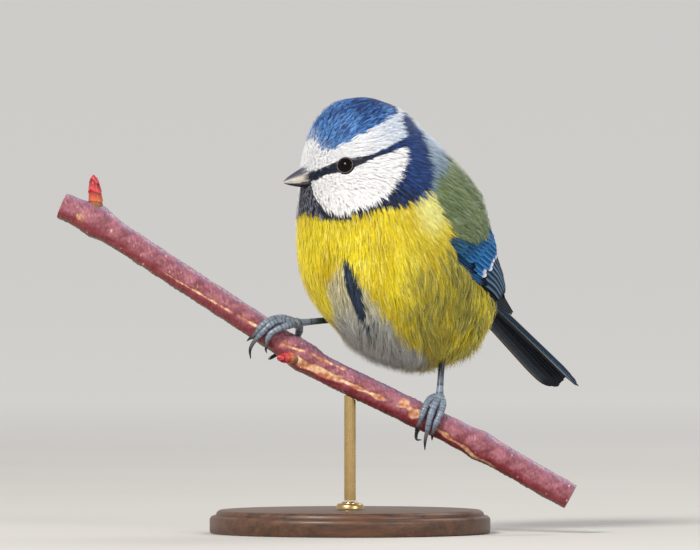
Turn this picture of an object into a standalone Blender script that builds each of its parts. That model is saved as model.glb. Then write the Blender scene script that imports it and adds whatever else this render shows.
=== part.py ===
"""Blue tit on a cut length of branch: a still, life-size model on a small display stand.

Lengths in this file are in millimetres, and each finished mesh is scaled by MM into metres at the end.
+X runs to the right as the bird is seen from the front of the stand, +Y runs away from that side and
+Z is up. The origin is the centre of the underside of the stand's base. Points of the bird are given
in two frames of its own, forward, left and up: the body's frame and the head's, which is turned.
"""

import math

import bmesh
import bpy
import numpy as np
from mathutils import Matrix, Vector

MM = 0.001
GAP = 0.3  # kept between parts that touch
SHARP_ANGLE = 35.0  # degrees between faces from which an edge is shaded sharp

# Pose: headings turn from the front of the stand towards its left, in degrees
BODY_HEADING = 36.0
HEAD_HEADING = 68.0
HEAD_PITCH = -13.0
BODY_CENTRE = np.array([11.5, 2.0, 66.2])
HEAD_ON_BODY = np.array([10.0, -2.0, 30.0])

# Plumage: name, frame, centre, radii, pitch of its long axis, width of the blend with those before it
BLOBS = [
    ("breast", "body", (2.3, 0.0, 7.4), (24.9, 22.7, 26.0), -22.0, 0.0),
    ("rump", "body", (-20.0, 0.0, -1.5), (18.5, 14.0, 11.4), 20.0, 13.0),
    ("flanks", "body", (-11.0, 0.0, -10.3), (16.3, 18.4, 12.7), 4.5, 8.0),
    ("mantle", "body", (-6.3, 0.0, 14.0), (17.9, 18.1, 14.7), -26.0, 8.0),
    ("nape", "body", (7.4, -0.5, 22.4), (17.6, 17.7, 15.0), -11.0, 8.0),
    ("crown", "head", (0.7, 0.0, -0.8), (15.3, 13.5, 16.7), 0.0, 6.0),
]
REACH = 70.0  # no ray from inside the plumage is longer
DIVISIONS = 13  # of each side of the cube that a piece of plumage is drawn out from
TORSO_EYE = (-2.0, 0.0, 4.0)  # the point in the body's frame that the torso's rays leave
NECK_EYE = (8.0, -1.0, 21.0)
FACE_CUT = (-6.2, 6.0)  # distance of the head's lower plane from its centre, and its forward lean
COLLAR_CUT = (19.2, 13.0)  # height of the torso's upper plane over the body's centre, and its lean

# Head
EYE_RADIUS = 2.9
EYE_PLACE = (10.8, 0.3)  # forward and up of the head's centre
EYE_SINK = 2.25  # from the plumage's surface to the eye's centre
LID_RADIUS = 2.0
LID_THICK = 0.45
LID_STEPS = (20, 6)  # round the eye, and round the ring's own section
# Bill stations: forward, culmen, mouth line, lower edge, half width
BILL = [
    (13.5, 2.2, -2.6, -4.6, 2.5),
    (16.6, 1.6, -2.5, -4.0, 2.15),
    (18.4, 1.15, -2.3, -3.65, 1.7),
    (20.3, 0.55, -2.0, -3.0, 1.2),
    (22.1, -0.15, -1.6, -2.2, 0.7),
    (23.3, -0.85, -1.3, -1.55, 0.28),
]
NOSTRIL = (17.9, 1.45, 0.35, 0.34)  # forward, out, up and radius

# Wing, in the body's frame for the left side: its lower and upper edges from wrist to tip
WING_LOW = [(12.0, 20.5, 8.0), (-7.0, 21.5, 0.0), (-25.0, 15.5, -6.0), (-41.0, 9.5, -11.8)]
WING_HIGH = [(2.0, 17.0, 17.0), (-13.0, 15.5, 13.0), (-28.5, 8.0, 4.0), (-41.0, 6.8, -8.6)]
WING_SINK = (2.0, -0.2)  # how far the lowest vanes lie under the plumage's outline, in front and behind
WING_RISE = (0.2, 0.5)  # shares of its length between which the sink goes from one to the other
WING_CLEAR = 0.8  # how far they lie over it where the wing has left the body
WING_FREE = (0.6, 0.85)  # shares of its length between which the wing leaves the body
# The bed that each wing lies in: shares along and across, and heights over the wing's underside
BED_ALONG = (0.05, 1.1)
BED_ACROSS = (-0.17, 1.1)
BED_HEIGHTS = (-0.85, 5.0)
BLOCK_GRID = (14, 6)  # points along and across a block of the wing
FLIGHT = (0.6, 1.0, 1.0, 0.95, 0.75, 0.2)  # widths of a flight feather from root to tip
COVERT = (0.7, 1.0, 0.9, 0.3)
VANE_THICK = 0.55
VANE_TILT = 0.2  # how far a vane's lower edge stands over its middle

# Tail, in the body's frame
TAIL_ROOT = (-34.0, 0.0, -2.1)
TAIL_SLOPE = 29.0
TAIL_LENGTHS = [49.6, 50.7, 51.5, 52.1, 51.9, 50.5]  # middle pair first
TAIL_HALF_WIDTH = 2.5
TAIL_STEP = 0.92  # from one feather's middle to the next, round the arch
TAIL_ARCH = 9.0
TAIL_LAYER = 0.34
TAIL_TWIST = 0.08  # how far a feather's inner edge stands over its middle

# Branch: points of its middle line, from its upper left end to its lower right end
BRANCH_RADIUS = 3.5
BRANCH = [
    (-74.0, 5.6, 84.0),
    (-66.5, 5.0, 80.7),
    (-59.0, 4.4, 76.0),
    (-43.6, 3.5, 65.9),
    (-28.2, 2.5, 55.9),
    (-17.9, 1.6, 49.1),
    (-7.7, 0.7, 42.6),
    (2.6, -0.2, 37.5),
    (12.8, -1.1, 32.6),
    (28.2, -2.4, 25.1),
    (38.5, -3.3, 19.6),
    (48.7, -4.2, 13.7),
    (56.4, -4.9, 9.5),
]
BRANCH_SIDES = 12
BRANCH_STEPS = 46
# Swellings: place along X, height and half length
KNOTS = [(-65.5, 1.0, 3.0), (-12.5, 0.7, 2.6), (33.5, 0.6, 2.2)]
BUD_ROOT = 0.8  # how far a bud's foot lies inside the bark
BUD_SIDES = 8
BUD_SHAPE = [(0.0, 1.0), (0.3, 1.0), (0.55, 0.85), (0.8, 0.5), (1.0, 0.12)]  # share of length, of radius
# Buds: foot on the branch by X, angle round it from its top towards the front, length, radius, lean
BUDS = {
    "perch_bud_upper": (-66.7, 8.0, 9.0, 2.0, (-0.62, 0.0)),
    "perch_bud_lower": (-13.2, 118.0, 5.6, 1.6, (-0.9, -0.1)),
}

# Feet. Toe points are along the branch from the foot's place, degrees round it from its top
# towards the front, and distance from its middle line.
FEET = {
    "right": {
        "place": -17.2,
        "pad": (-0.2, 4.0, 6.3),
        "ankle": (0.5, 8.0, 55.2),
        "toes": [
            [(-2.2, 8, 6.1), (-4.8, 20, 5.2), (-6.4, 52, 4.7), (-7.1, 84, 4.6), (-7.2, 104, 4.6)],
            [(-1.8, 15, 5.9), (-4.1, 34, 5.1), (-5.4, 62, 4.7), (-6.0, 96, 4.6), (-6.4, 122, 4.9)],
            [(-1.2, 30, 5.9), (-2.9, 56, 5.0), (-3.9, 80, 4.6), (-3.9, 100, 4.6), (-3.6, 112, 4.6)],
            [(0.9, -14, 5.9), (1.5, -45, 4.9), (1.2, -80, 4.6), (0.5, -110, 4.6), (-0.1, -125, 4.6)],
        ],
        "claws": [
            [(-7.5, 122, 4.8), (-8.0, 138, 5.0), (-8.2, 152, 5.0)],
            [(-6.5, 136, 5.8), (-6.1, 144, 7.3), (-4.9, 155, 8.4)],
            [(-3.2, 127, 4.7), (-2.8, 141, 4.8), (-2.3, 153, 4.7)],
            [(-0.7, -146, 5.0), (-1.2, -168, 5.4), (-1.1, -192, 5.2)],
        ],
    },
    "left": {
        "place": 21.3,
        "pad": (-1.1, 4.0, 6.3),
        "ankle": (24.0, 3.4, 50.4),
        "toes": [
            [(-2.4, 10, 6.0), (-3.2, 32, 5.0), (-3.1, 60, 4.7), (-2.9, 84, 4.6), (-2.7, 98, 4.6)],
            [(-1.3, 22, 5.9), (-1.2, 50, 4.9), (-0.8, 80, 4.7), (-0.3, 108, 4.6), (0.1, 127, 4.9)],
            [(0.1, 14, 6.0), (0.9, 38, 5.0), (1.1, 66, 4.7), (1.2, 90, 4.6), (1.3, 104, 4.6)],
            [(-0.4, -16, 5.9), (-0.8, -45, 4.9), (-1.5, -80, 4.6), (-2.2, -112, 4.6), (-2.6, -127, 4.7)],
        ],
        "claws": [
            [(-2.7, 117, 4.8), (-2.8, 133, 5.0), (-2.6, 148, 5.0)],
            [(0.4, 140, 5.8), (0.9, 146, 7.0), (1.5, 157, 7.8)],
            [(1.5, 120, 4.8), (1.8, 136, 4.9), (2.0, 150, 4.8)],
            [(-2.7, -145, 5.3), (-1.9, -165, 6.1), (-0.6, -186, 5.4)],
        ],
    },
}
TOE_RADII = (0.95, 0.62)
CLAW_RADII = (0.5, 0.12)
TARSUS_RADII = (1.25, 0.85)
TARSUS_BEND = 0.28  # share of the way from the pad to the ankle where the tarsus leaves the pad's line
PAD_RADIUS = 1.45
CLAW_SIDES = 6

# Stand
BASE_RADIUS = 36.0
BASE_HEIGHT = 6.0
BASE_BEVEL = 1.6
BASE_SIDES = 48
COLLAR_SIZE = (3.6, 1.8)
COLLAR_SIDES = 20
ROD_RADIUS = 1.5
ROD_SIDES = 16


def frame_axes(heading, pitch=0.0):
    """Rows: forward, left and up."""
    turn, nod = math.radians(heading), math.radians(pitch)
    ahead = np.array([-math.sin(turn), -math.cos(turn), 0.0])
    left = np.array([math.cos(turn), -math.sin(turn), 0.0])
    up = np.array([0.0, 0.0, 1.0])
    forward = ahead * math.cos(nod) + up * math.sin(nod)
    return np.array([forward, left, up * math.cos(nod) - ahead * math.sin(nod)])


BODY_AXES = frame_axes(BODY_HEADING)
HEAD_AXES = frame_axes(HEAD_HEADING, HEAD_PITCH)
HEAD_CENTRE = BODY_CENTRE + HEAD_ON_BODY @ BODY_AXES
FRAMES = {"body": (BODY_CENTRE, BODY_AXES), "head": (HEAD_CENTRE, HEAD_AXES)}


def place(points, frame):
    """Points of a frame of the bird's, in the part's own frame."""
    centre, axes = FRAMES[frame]
    return centre + np.asarray(points, float) @ axes


def pitched(axes, degrees):
    nod = math.radians(degrees)
    forward, left, up = axes
    return np.array(
        [
            forward * math.cos(nod) + up * math.sin(nod),
            left,
            up * math.cos(nod) - forward * math.sin(nod),
        ]
    )


def plumage(points):
    """How far points lie outside the plumage's surface, near enough, and less than 0 inside it."""
    found = None
    for _, frame, centre, radii, pitch, width in BLOBS:
        axes = pitched(FRAMES[frame][1], pitch)
        local = (points - place(centre, frame)) @ axes.T
        radii = np.array(radii)
        near = np.linalg.norm(local / radii, axis=-1)
        steep = np.maximum(np.linalg.norm(local / radii**2, axis=-1), 1e-9)
        away = near * (near - 1) / steep
        if found is None:
            found = away
            continue
        share = np.clip(0.5 + 0.5 * (away - found) / width, 0, 1)
        found = away * (1 - share) + found * share - width * share * (1 - share)
    return found


def ramp(value, low, high):
    share = np.clip((value - low) / (high - low), 0, 1)
    return share * share * (3 - 2 * share)


def outward(points, step=0.05):
    """Unit vectors out of the plumage."""
    rise = np.stack(
        [plumage(points + d) - plumage(points - d) for d in np.eye(3) * step], axis=-1
    )
    return rise / np.linalg.norm(rise, axis=-1, keepdims=True)


def moved_out(points, clearance):
    """Points moved out until they clear the plumage."""
    for _ in range(6):
        short = np.maximum(clearance - plumage(points), 0)
        points = points + outward(points) * short[..., None]
    return points


def laid_on(points, height):
    """Points moved to a height over the plumage."""
    for _ in range(6):
        points = points + outward(points) * (height - plumage(points))[..., None]
    return points


def surface_along(origin, directions, grow=0.0):
    """Where rays from origin first leave the plumage, or its surface grown by that much."""
    steps = np.arange(0.0, REACH, 1.0)
    far = np.full(len(directions), REACH)
    for step in steps[::-1]:
        outside = plumage(origin + directions * step) > grow
        far = np.where(outside, step, far)
    near = np.maximum(far - 1.0, 0.0)
    for _ in range(18):
        middle = (near + far) / 2
        outside = plumage(origin + directions * middle[:, None]) > grow
        far = np.where(outside, middle, far)
        near = np.where(outside, near, middle)
    return origin + directions * far[:, None]


def smooth_curve(points, count):
    """Evenly spread points of a Catmull-Rom curve through the given ones."""
    points = np.asarray(points, float)
    ends = [2 * points[0] - points[1]], [2 * points[-1] - points[-2]]
    p = np.concatenate([ends[0], points, ends[1]])
    dense = []
    for k in range(len(points) - 1):
        t = np.linspace(0, 1, 24, endpoint=False)[:, None]
        a, b, c, d = p[k : k + 4]
        dense.append(
            0.5 * (2 * b + (c - a) * t + (2 * a - 5 * b + 4 * c - d) * t**2
                   + (3 * b - a - 3 * c + d) * t**3)
        )
    dense = np.concatenate([*dense, points[-1:]])
    along = np.concatenate([[0], np.cumsum(np.linalg.norm(np.diff(dense, axis=0), axis=1))])
    even = np.linspace(0, along[-1], count)
    return np.stack([np.interp(even, along, dense[:, k]) for k in range(3)], axis=1)


def on_curve(points, share):
    """The point at a share of the length of a smooth curve, which goes straight on past its ends."""
    dense = smooth_curve(points, 101)
    at = np.asarray(share, float) * 100
    within = np.clip(at, 0, 100)
    found = np.stack([np.interp(within, np.arange(101), dense[:, k]) for k in range(3)], axis=-1)
    onward = np.where((at > 50)[..., None], dense[100] - dense[99], dense[1] - dense[0])
    return found + onward * (at - within)[..., None]


def unit(vectors):
    return vectors / np.linalg.norm(vectors, axis=-1, keepdims=True)


# Meshes and Booleans


def material(name, colour, roughness=0.6, metallic=0.0):
    made = bpy.data.materials.new(name)
    made.use_nodes = True
    shader = made.node_tree.nodes["Principled BSDF"]
    shader.inputs["Base Color"].default_value = (*colour, 1.0)
    shader.inputs["Roughness"].default_value = roughness
    shader.inputs["Metallic"].default_value = metallic
    return made


def add_object(name, vertices, faces, finish=None):
    mesh = bpy.data.meshes.new(name)
    mesh.from_pydata([tuple(v) for v in vertices], [], [tuple(f) for f in faces])
    mesh.update()
    made = bpy.data.objects.new(name, mesh)
    bpy.context.scene.collection.objects.link(made)
    if finish:
        mesh.materials.append(finish)
    return made


def fill_from(made, editing):
    """Writes an edited bmesh back, with its faces as triangles that point out."""
    bmesh.ops.triangulate(editing, faces=editing.faces[:])
    bmesh.ops.recalc_face_normals(editing, faces=editing.faces[:])
    editing.to_mesh(made.data)
    editing.free()
    made.data.update()


def remove(made):
    bpy.data.objects.remove(made, do_unlink=True)


def keep_largest(made):
    """Drops all but the largest closed surface, such as scraps that a cut leaves."""
    editing = bmesh.new()
    editing.from_mesh(made.data)
    left = set(editing.faces)
    pieces = []
    while left:
        piece, edge = set(), [next(iter(left))]
        while edge:
            face = edge.pop()
            if face in piece:
                continue
            piece.add(face)
            edge += [f for e in face.edges for f in e.link_faces if f not in piece]
        left -= piece
        pieces.append(piece)
    largest = max(pieces, key=lambda piece: abs(sum(signed_volume(f) for f in piece)))
    for piece in pieces:
        if piece is not largest:
            bmesh.ops.delete(editing, geom=list(piece), context="FACES")
    editing.to_mesh(made.data)
    editing.free()


def signed_volume(face):
    corners = [v.co for v in face.verts]
    return sum(
        corners[0].dot(corners[k].cross(corners[k + 1])) for k in range(1, len(corners) - 1)
    )


def apply_boolean(made, operation, others):
    """Joins or cuts made by the closed meshes in others, which are then removed."""
    group = bpy.data.collections.new("operands")
    for other in others:
        group.objects.link(other)
    change = made.modifiers.new(operation, "BOOLEAN")
    change.operation = operation
    change.operand_type = "COLLECTION"
    change.collection = group
    change.solver = "EXACT"
    graph = bpy.context.evaluated_depsgraph_get()
    result = bpy.data.meshes.new_from_object(made.evaluated_get(graph))
    made.modifiers.clear()
    made.data = result
    for other in others:
        remove(other)
    bpy.data.collections.remove(group)
    editing = bmesh.new()
    editing.from_mesh(made.data)
    bmesh.ops.triangulate(editing, faces=editing.faces[:])
    editing.to_mesh(made.data)
    editing.free()
    keep_largest(made)
    return made


def fused(name, pieces, finish):
    first = apply_boolean(pieces[0], "UNION", pieces[1:])
    first.name = name
    first.data.materials.clear()
    first.data.materials.append(finish)
    return first


def side_vectors(path):
    """Two unit vectors across a path at each of its points, turning as little as they can."""
    along = unit(np.gradient(path, axis=0))
    across = np.cross(along[0], (0.0, 0.0, 1.0))
    if np.linalg.norm(across) < 0.1:
        across = np.cross(along[0], (0.0, 1.0, 0.0))
    first, second = [], []
    for step in along:
        across = unit(across - step * (across @ step))
        first.append(across)
        second.append(np.cross(step, across))
    return np.array(first), np.array(second)


def tube(name, path, radii, sides, finish=None, flatten=1.0):
    """A closed tube along a path, with flat ends. flatten narrows it across its first side vector."""
    first, second = side_vectors(path)
    angles = np.linspace(0, 2 * math.pi, sides, endpoint=False)
    rings = [
        p + r * (np.cos(angles)[:, None] * a * flatten + np.sin(angles)[:, None] * b)
        for p, r, a, b in zip(path, radii, first, second)
    ]
    faces = []
    for k in range(len(path) - 1):
        for j in range(sides):
            low, high = k * sides, (k + 1) * sides
            n = (j + 1) % sides
            faces += [(low + j, low + n, high + n), (low + j, high + n, high + j)]
    last = (len(path) - 1) * sides
    faces += [(0, j + 1, j) for j in range(1, sides - 1)]
    faces += [(last, last + j, last + j + 1) for j in range(1, sides - 1)]
    return add_object(name, np.concatenate(rings), faces, finish)


def slab(name, low_edge, high_edge, normals, thick):
    """A thin closed vane between two edges, split into triangles alike on both faces."""
    count = len(low_edge)
    half = normals * (thick / 2)[:, None]
    rings = np.stack([low_edge + half, low_edge - half, high_edge - half, high_edge + half], axis=1)
    faces = []
    for k in range(count - 1):
        a, b = 4 * k, 4 * (k + 1)
        faces += [(a, a + 3, b + 3), (a, b + 3, b)]
        faces += [(a + 1, b + 2, a + 2), (a + 1, b + 1, b + 2)]
        faces += [(a, b, b + 1), (a, b + 1, a + 1)]
        faces += [(a + 3, a + 2, b + 2), (a + 3, b + 2, b + 3)]
    e = 4 * (count - 1)
    faces += [(0, 1, 2), (0, 2, 3), (e, e + 2, e + 1), (e, e + 3, e + 2)]
    made = add_object(name, rings.reshape(-1, 3), faces)
    editing = bmesh.new()
    editing.from_mesh(made.data)
    fill_from(made, editing)
    return made


# Plumage nodes


def ball_directions(divisions):
    """A cube's grid drawn out into a ball of even faces: its bmesh and unit vectors."""
    editing = bmesh.new()
    bmesh.ops.create_cube(editing, size=2)
    bmesh.ops.subdivide_edges(
        editing, edges=editing.edges[:], cuts=divisions - 1, use_grid_fill=True
    )
    cube = np.array([v.co for v in editing.verts])
    return editing, unit(np.tan(cube * math.pi / 4))


def plumage_shell(name, origin, cuts=(), finish=None, grow=0.0):
    """The plumage as rays from origin meet it, cut by planes that keep what lies behind their normal."""
    editing, directions = ball_directions(DIVISIONS)
    points = surface_along(origin, directions, grow)
    for vertex, point in zip(editing.verts, points):
        vertex.co = Vector(point)
    for at, normal in cuts:
        everything = editing.verts[:] + editing.edges[:] + editing.faces[:]
        found = bmesh.ops.bisect_plane(
            editing, geom=everything, plane_co=Vector(at), plane_no=Vector(normal),
            clear_outer=True, dist=1e-4,
        )
        rim = [e for e in found["geom_cut"] if isinstance(e, bmesh.types.BMEdge)]
        bmesh.ops.contextual_create(editing, geom=rim)
    made = add_object(name, [], [], finish)
    fill_from(made, editing)
    return made


def body_cutter():
    """The torso's outer shape, larger by the gap."""
    return plumage_shell("cutter", place(TORSO_EYE, "body"), grow=GAP)


def cut_planes():
    """The planes between head and neck and between neck and torso: a point and a normal towards the head."""
    depth, lean = FACE_CUT
    face_normal = pitched(HEAD_AXES, -lean)[2]
    face = HEAD_CENTRE + face_normal * depth
    height, lean = COLLAR_CUT
    collar_normal = pitched(BODY_AXES, -lean)[2]
    collar = place((0.0, 0.0, height), "body")
    return (face, face_normal), (collar, collar_normal)


def make_torso(finish):
    collar, normal = cut_planes()[1]
    cuts = [(collar - normal * GAP / 2, normal)]
    torso = plumage_shell("torso", place(TORSO_EYE, "body"), cuts, finish)
    beds = [wing_block("bed", side, BED_ALONG, BED_ACROSS, *BED_HEIGHTS) for side in (1, -1)]
    return apply_boolean(torso, "DIFFERENCE", beds)


def make_neck(finish):
    (face, face_normal), (collar, collar_normal) = cut_planes()
    cuts = [
        (face - face_normal * GAP / 2, face_normal),
        (collar + collar_normal * GAP / 2, -collar_normal),
    ]
    return plumage_shell("neck", place(NECK_EYE, "body"), cuts, finish)


def eye_spot(side):
    """The eye's centre and the way it looks. side is 1 on the left and -1 on the right."""
    ahead, up = EYE_PLACE
    start = place((ahead, 0.0, up), "head")
    surface = surface_along(start, (HEAD_AXES[1] * side)[None])
    look = outward(surface)[0]
    return surface[0] - look * EYE_SINK, look


def ball(name, centre, radius, finish=None, rings=10, segments=16):
    editing = bmesh.new()
    bmesh.ops.create_uvsphere(editing, u_segments=segments, v_segments=rings, radius=radius)
    bmesh.ops.translate(editing, verts=editing.verts[:], vec=Vector(centre))
    made = add_object(name, [], [], finish)
    fill_from(made, editing)
    return made


def lid_ring(centre, look):
    """The ring of bare lid round the eye, sunk half into the face."""
    rise = math.sqrt(EYE_RADIUS**2 - LID_RADIUS**2)
    middle = centre + look * rise
    first = unit(np.cross(look, (0.0, 0.0, 1.0)))
    second = np.cross(look, first)
    steps, sides = LID_STEPS
    around = np.linspace(0, 2 * math.pi, steps, endpoint=False)
    section = np.linspace(0, 2 * math.pi, sides, endpoint=False)
    vertices, faces = [], []
    for angle in around:
        spoke = first * math.cos(angle) + second * math.sin(angle)
        for turn in section:
            out = LID_RADIUS + LID_THICK * math.cos(turn)
            vertices.append(middle + spoke * out + look * LID_THICK * math.sin(turn))
    for k in range(steps):
        for j in range(sides):
            a, b = sides * k + j, sides * k + (j + 1) % sides
            c, d = (a + sides) % (steps * sides), (b + sides) % (steps * sides)
            faces += [(a, c, d), (a, d, b)]
    made = add_object("lid", vertices, faces)
    editing = bmesh.new()
    editing.from_mesh(made.data)
    fill_from(made, editing)
    return made


def make_head(finish):
    face, normal = cut_planes()[0]
    cuts = [(face + normal * GAP / 2, -normal)]
    head = plumage_shell("head", HEAD_CENTRE, cuts, finish)
    spots = [eye_spot(side) for side in (1, -1)]
    head = apply_boolean(head, "UNION", [lid_ring(*spot) for spot in spots])
    sockets = [ball("socket", centre, EYE_RADIUS + GAP) for centre, _ in spots]
    head = apply_boolean(head, "DIFFERENCE", sockets)
    head.data.materials.clear()
    head.data.materials.append(finish)
    return head


def make_eyes(finish):
    for name, side in (("eye_left", 1), ("eye_right", -1)):
        ball(name, eye_spot(side)[0], EYE_RADIUS, finish)


def bill_half(name, rows, upper, finish):
    """One mandible: rings of a rounded section from its flat mouth side to its ridge."""
    ring = np.linspace(0, math.pi, 6)
    vertices = []
    for ahead, culmen, mouth, lower, wide in rows:
        edge = mouth + GAP / 2 if upper else mouth - GAP / 2
        ridge = max(culmen, edge + 0.1) if upper else min(lower, edge - 0.1)
        arc = [(ahead, wide * math.cos(a), edge + (ridge - edge) * math.sin(a)) for a in ring]
        vertices += arc
    sides = len(ring)
    faces = []
    for k in range(len(rows) - 1):
        for j in range(sides):
            a, b = k * sides + j, k * sides + (j + 1) % sides
            faces += [(a, b, b + sides), (a, b + sides, a + sides)]
    last = (len(rows) - 1) * sides
    faces += [(0, j + 1, j) for j in range(1, sides - 1)]
    faces += [(last, last + j, last + j + 1) for j in range(1, sides - 1)]
    made = add_object(name, place(vertices, "head"), faces, finish)
    editing = bmesh.new()
    editing.from_mesh(made.data)
    fill_from(made, editing)
    return made


def make_bill(finish):
    ahead, out, up, radius = NOSTRIL
    for name, upper in (("bill_upper", True), ("bill_lower", False)):
        half = bill_half(name, BILL, upper, finish)
        face = plumage_shell("cutter", HEAD_CENTRE, grow=GAP)
        apply_boolean(half, "DIFFERENCE", [face])
        if upper:
            holes = [
                ball("hole", place((ahead, out * side, up), "head"), radius, None, 6, 8)
                for side in (1, -1)
            ]
            apply_boolean(half, "DIFFERENCE", holes)


# Wings


def wing_point(along, across, height, side):
    """A point of the folded wing: shares of its length and of the way from its lower to its upper edge,
    and a height over the wing's underside. Also the way out of the wing there."""
    along, across, height = np.broadcast_arrays(along, across, height)

    def sheet(x, y):
        low, high = on_curve(WING_LOW, x), on_curve(WING_HIGH, x)
        return low + (high - low) * y[..., None]

    step = 0.02
    at = sheet(along, across)
    back = sheet(along + step, across) - sheet(along - step, across)
    up = sheet(along, across + step) - sheet(along, across - step)
    normal = unit(np.cross(up, back))
    normal = normal * np.sign(normal[..., 1:2])
    mirror = np.array([1.0, side, 1.0])
    at, normal = place(at * mirror, "body"), (normal * mirror) @ BODY_AXES
    sink = WING_SINK[0] + (WING_SINK[1] - WING_SINK[0]) * ramp(along, *WING_RISE)
    lying = laid_on(at, height - sink)
    free = moved_out(at + normal * height[..., None], height + WING_CLEAR)
    share = ramp(along, *WING_FREE)[..., None]
    return lying + (free - lying) * share, unit(outward(lying) * (1 - share) + normal * share)


def wing_block(name, side, along, across, under, over, finish=None):
    """A closed block of a stretch of the wing, between two heights."""
    rows, columns = BLOCK_GRID
    x, y = np.meshgrid(np.linspace(*along, rows), np.linspace(*across, columns), indexing="ij")
    layers = [wing_point(x, y, np.full(x.shape, height), side)[0] for height in (under, over)]
    vertices = np.concatenate([layer.reshape(-1, 3) for layer in layers])
    count = rows * columns
    faces = []
    for k in range(rows - 1):
        for j in range(columns - 1):
            a = k * columns + j
            b = a + columns
            faces += [(a, b, b + 1), (a, b + 1, a + 1)]
            faces += [(count + a, count + b + 1, count + b), (count + a, count + a + 1, count + b + 1)]
    rim = [j for j in range(columns)]
    rim += [k * columns + columns - 1 for k in range(1, rows)]
    rim += [(rows - 1) * columns + j for j in range(columns - 2, -1, -1)]
    rim += [k * columns for k in range(rows - 2, 0, -1)]
    for here, there in zip(rim, rim[1:] + rim[:1]):
        faces += [(here, there, there + count), (here, there + count, here + count)]
    made = add_object(name, vertices, faces, finish)
    editing = bmesh.new()
    editing.from_mesh(made.data)
    fill_from(made, editing)
    return made


def wing_vane(root, tip, half_width, height, side, outline):
    """One feather of the wing, from root to tip in shares of the wing's length and depth."""
    t = np.linspace(0, 1, len(outline))
    t[-2] = (t[-3] + 3) / 4
    along = root[0] + (tip[0] - root[0]) * t
    across = root[1] + (tip[1] - root[1]) * t
    depth = np.linalg.norm(on_curve(WING_HIGH, along) - on_curve(WING_LOW, along), axis=-1)
    half = half_width * np.array(outline) / depth
    low, normal = wing_point(along, across - half, height + VANE_TILT, side)
    high, _ = wing_point(along, across + half, height - VANE_TILT, side)
    return slab("vane", low, high, normal, np.full(len(t), VANE_THICK))


def tier(count, root, tip, half_width, height, outline):
    """Rows of (root, tip, half width, height, outline), spread evenly from the first feather to the last."""
    rows = []
    for share in np.linspace(0, 1, count):
        spots = [np.array(a) + (np.array(b) - np.array(a)) * share for a, b in (root, tip)]
        rows.append((*spots, half_width, height[0] + (height[1] - height[0]) * share, outline))
    return rows


def wing_rows():
    """The wing's tiers, each from its lowest feather to its highest."""
    return [
        *tier(8, [(0.34, 0.10), (0.36, 0.34)], [(0.99, 0.2), (0.80, 0.62)], 2.0, (0.0, 0.25), FLIGHT),
        *tier(6, [(0.34, 0.24), (0.42, 0.66)], [(0.76, 0.36), (0.73, 0.76)], 2.2, (0.45, 0.7), FLIGHT),
        *tier(3, [(0.38, 0.72), (0.42, 0.88)], [(0.70, 0.80), (0.58, 0.94)], 2.4, (0.9, 1.2), FLIGHT),
        *tier(3, [(0.16, 0.04), (0.18, 0.16)], [(0.48, 0.05), (0.46, 0.2)], 1.6, (0.75, 0.9), COVERT),
        *tier(7, [(0.28, 0.12), (0.34, 0.90)], [(0.49, 0.16), (0.55, 0.94)], 2.1, (1.1, 1.35), COVERT),
        *tier(2, [(0.10, 0.06), (0.12, 0.14)], [(0.42, 0.05), (0.36, 0.14)], 1.6, (1.2, 1.35), COVERT),
        *tier(6, [(0.16, 0.14), (0.22, 0.90)], [(0.36, 0.2), (0.41, 0.94)], 2.4, (1.5, 1.7), COVERT),
        *tier(5, [(0.09, 0.16), (0.13, 0.86)], [(0.24, 0.2), (0.29, 0.92)], 2.6, (1.75, 1.95), COVERT),
    ]


def make_wing(name, side, finish):
    vanes = [
        wing_vane(root, tip, half_width, height, side, shape)
        for root, tip, half_width, height, shape in wing_rows()
    ]
    fused(name, vanes, finish)


# Tail


def tail_vane(index, side):
    """One tail feather: index 0 is the middle pair's, and outer ones lie lower round the arch."""
    slope = math.radians(TAIL_SLOPE)
    back = np.array([-math.cos(slope), 0.0, -math.sin(slope)])
    up = np.array([-math.sin(slope), 0.0, math.cos(slope)])
    left = np.array([0.0, 1.0, 0.0])
    t = np.array([0.0, 0.3, 0.6, 0.85, 0.96, 1.0])
    spread = 0.45 + 0.55 * np.minimum(t / 0.8, 1.0)
    width = TAIL_HALF_WIDTH * np.array([0.5, 0.85, 1.0, 1.0, 0.8, 0.3])
    middle = (0.3 + TAIL_STEP * index) * spread
    layer = index if side > 0 else index + 0.5
    edges = []
    for sign, lift in ((1, TAIL_TWIST), (-1, -TAIL_TWIST)):
        angle = (middle + sign * width) / TAIL_ARCH
        radius = TAIL_ARCH - TAIL_LAYER * layer - lift
        out = radius * np.sin(angle) * side
        drop = radius * np.cos(angle) - TAIL_ARCH
        edges.append(
            np.asarray(TAIL_ROOT)
            + back * (t * TAIL_LENGTHS[index])[:, None]
            + left * out[:, None]
            + up * drop[:, None]
        )
    angle = middle / TAIL_ARCH
    normal = left * (np.sin(angle) * side)[:, None] + up * np.cos(angle)[:, None]
    thick = np.full(len(t), VANE_THICK)
    world = [place(edge, "body") for edge in edges]
    return slab("vane", world[0], world[1], normal @ BODY_AXES, thick)


def make_tail(finish):
    vanes = [tail_vane(k, side) for k in range(len(TAIL_LENGTHS)) for side in (1, -1)]
    tail = fused("tail", vanes, finish)
    apply_boolean(tail, "DIFFERENCE", [body_cutter()])


# Branch


def branch_path():
    path = smooth_curve(BRANCH, BRANCH_STEPS)
    radii = np.full(len(path), BRANCH_RADIUS)
    for at, height, half_length in KNOTS:
        radii = radii + height * np.exp(-(((path[:, 0] - at) / half_length) ** 2))
    return path, radii


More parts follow.
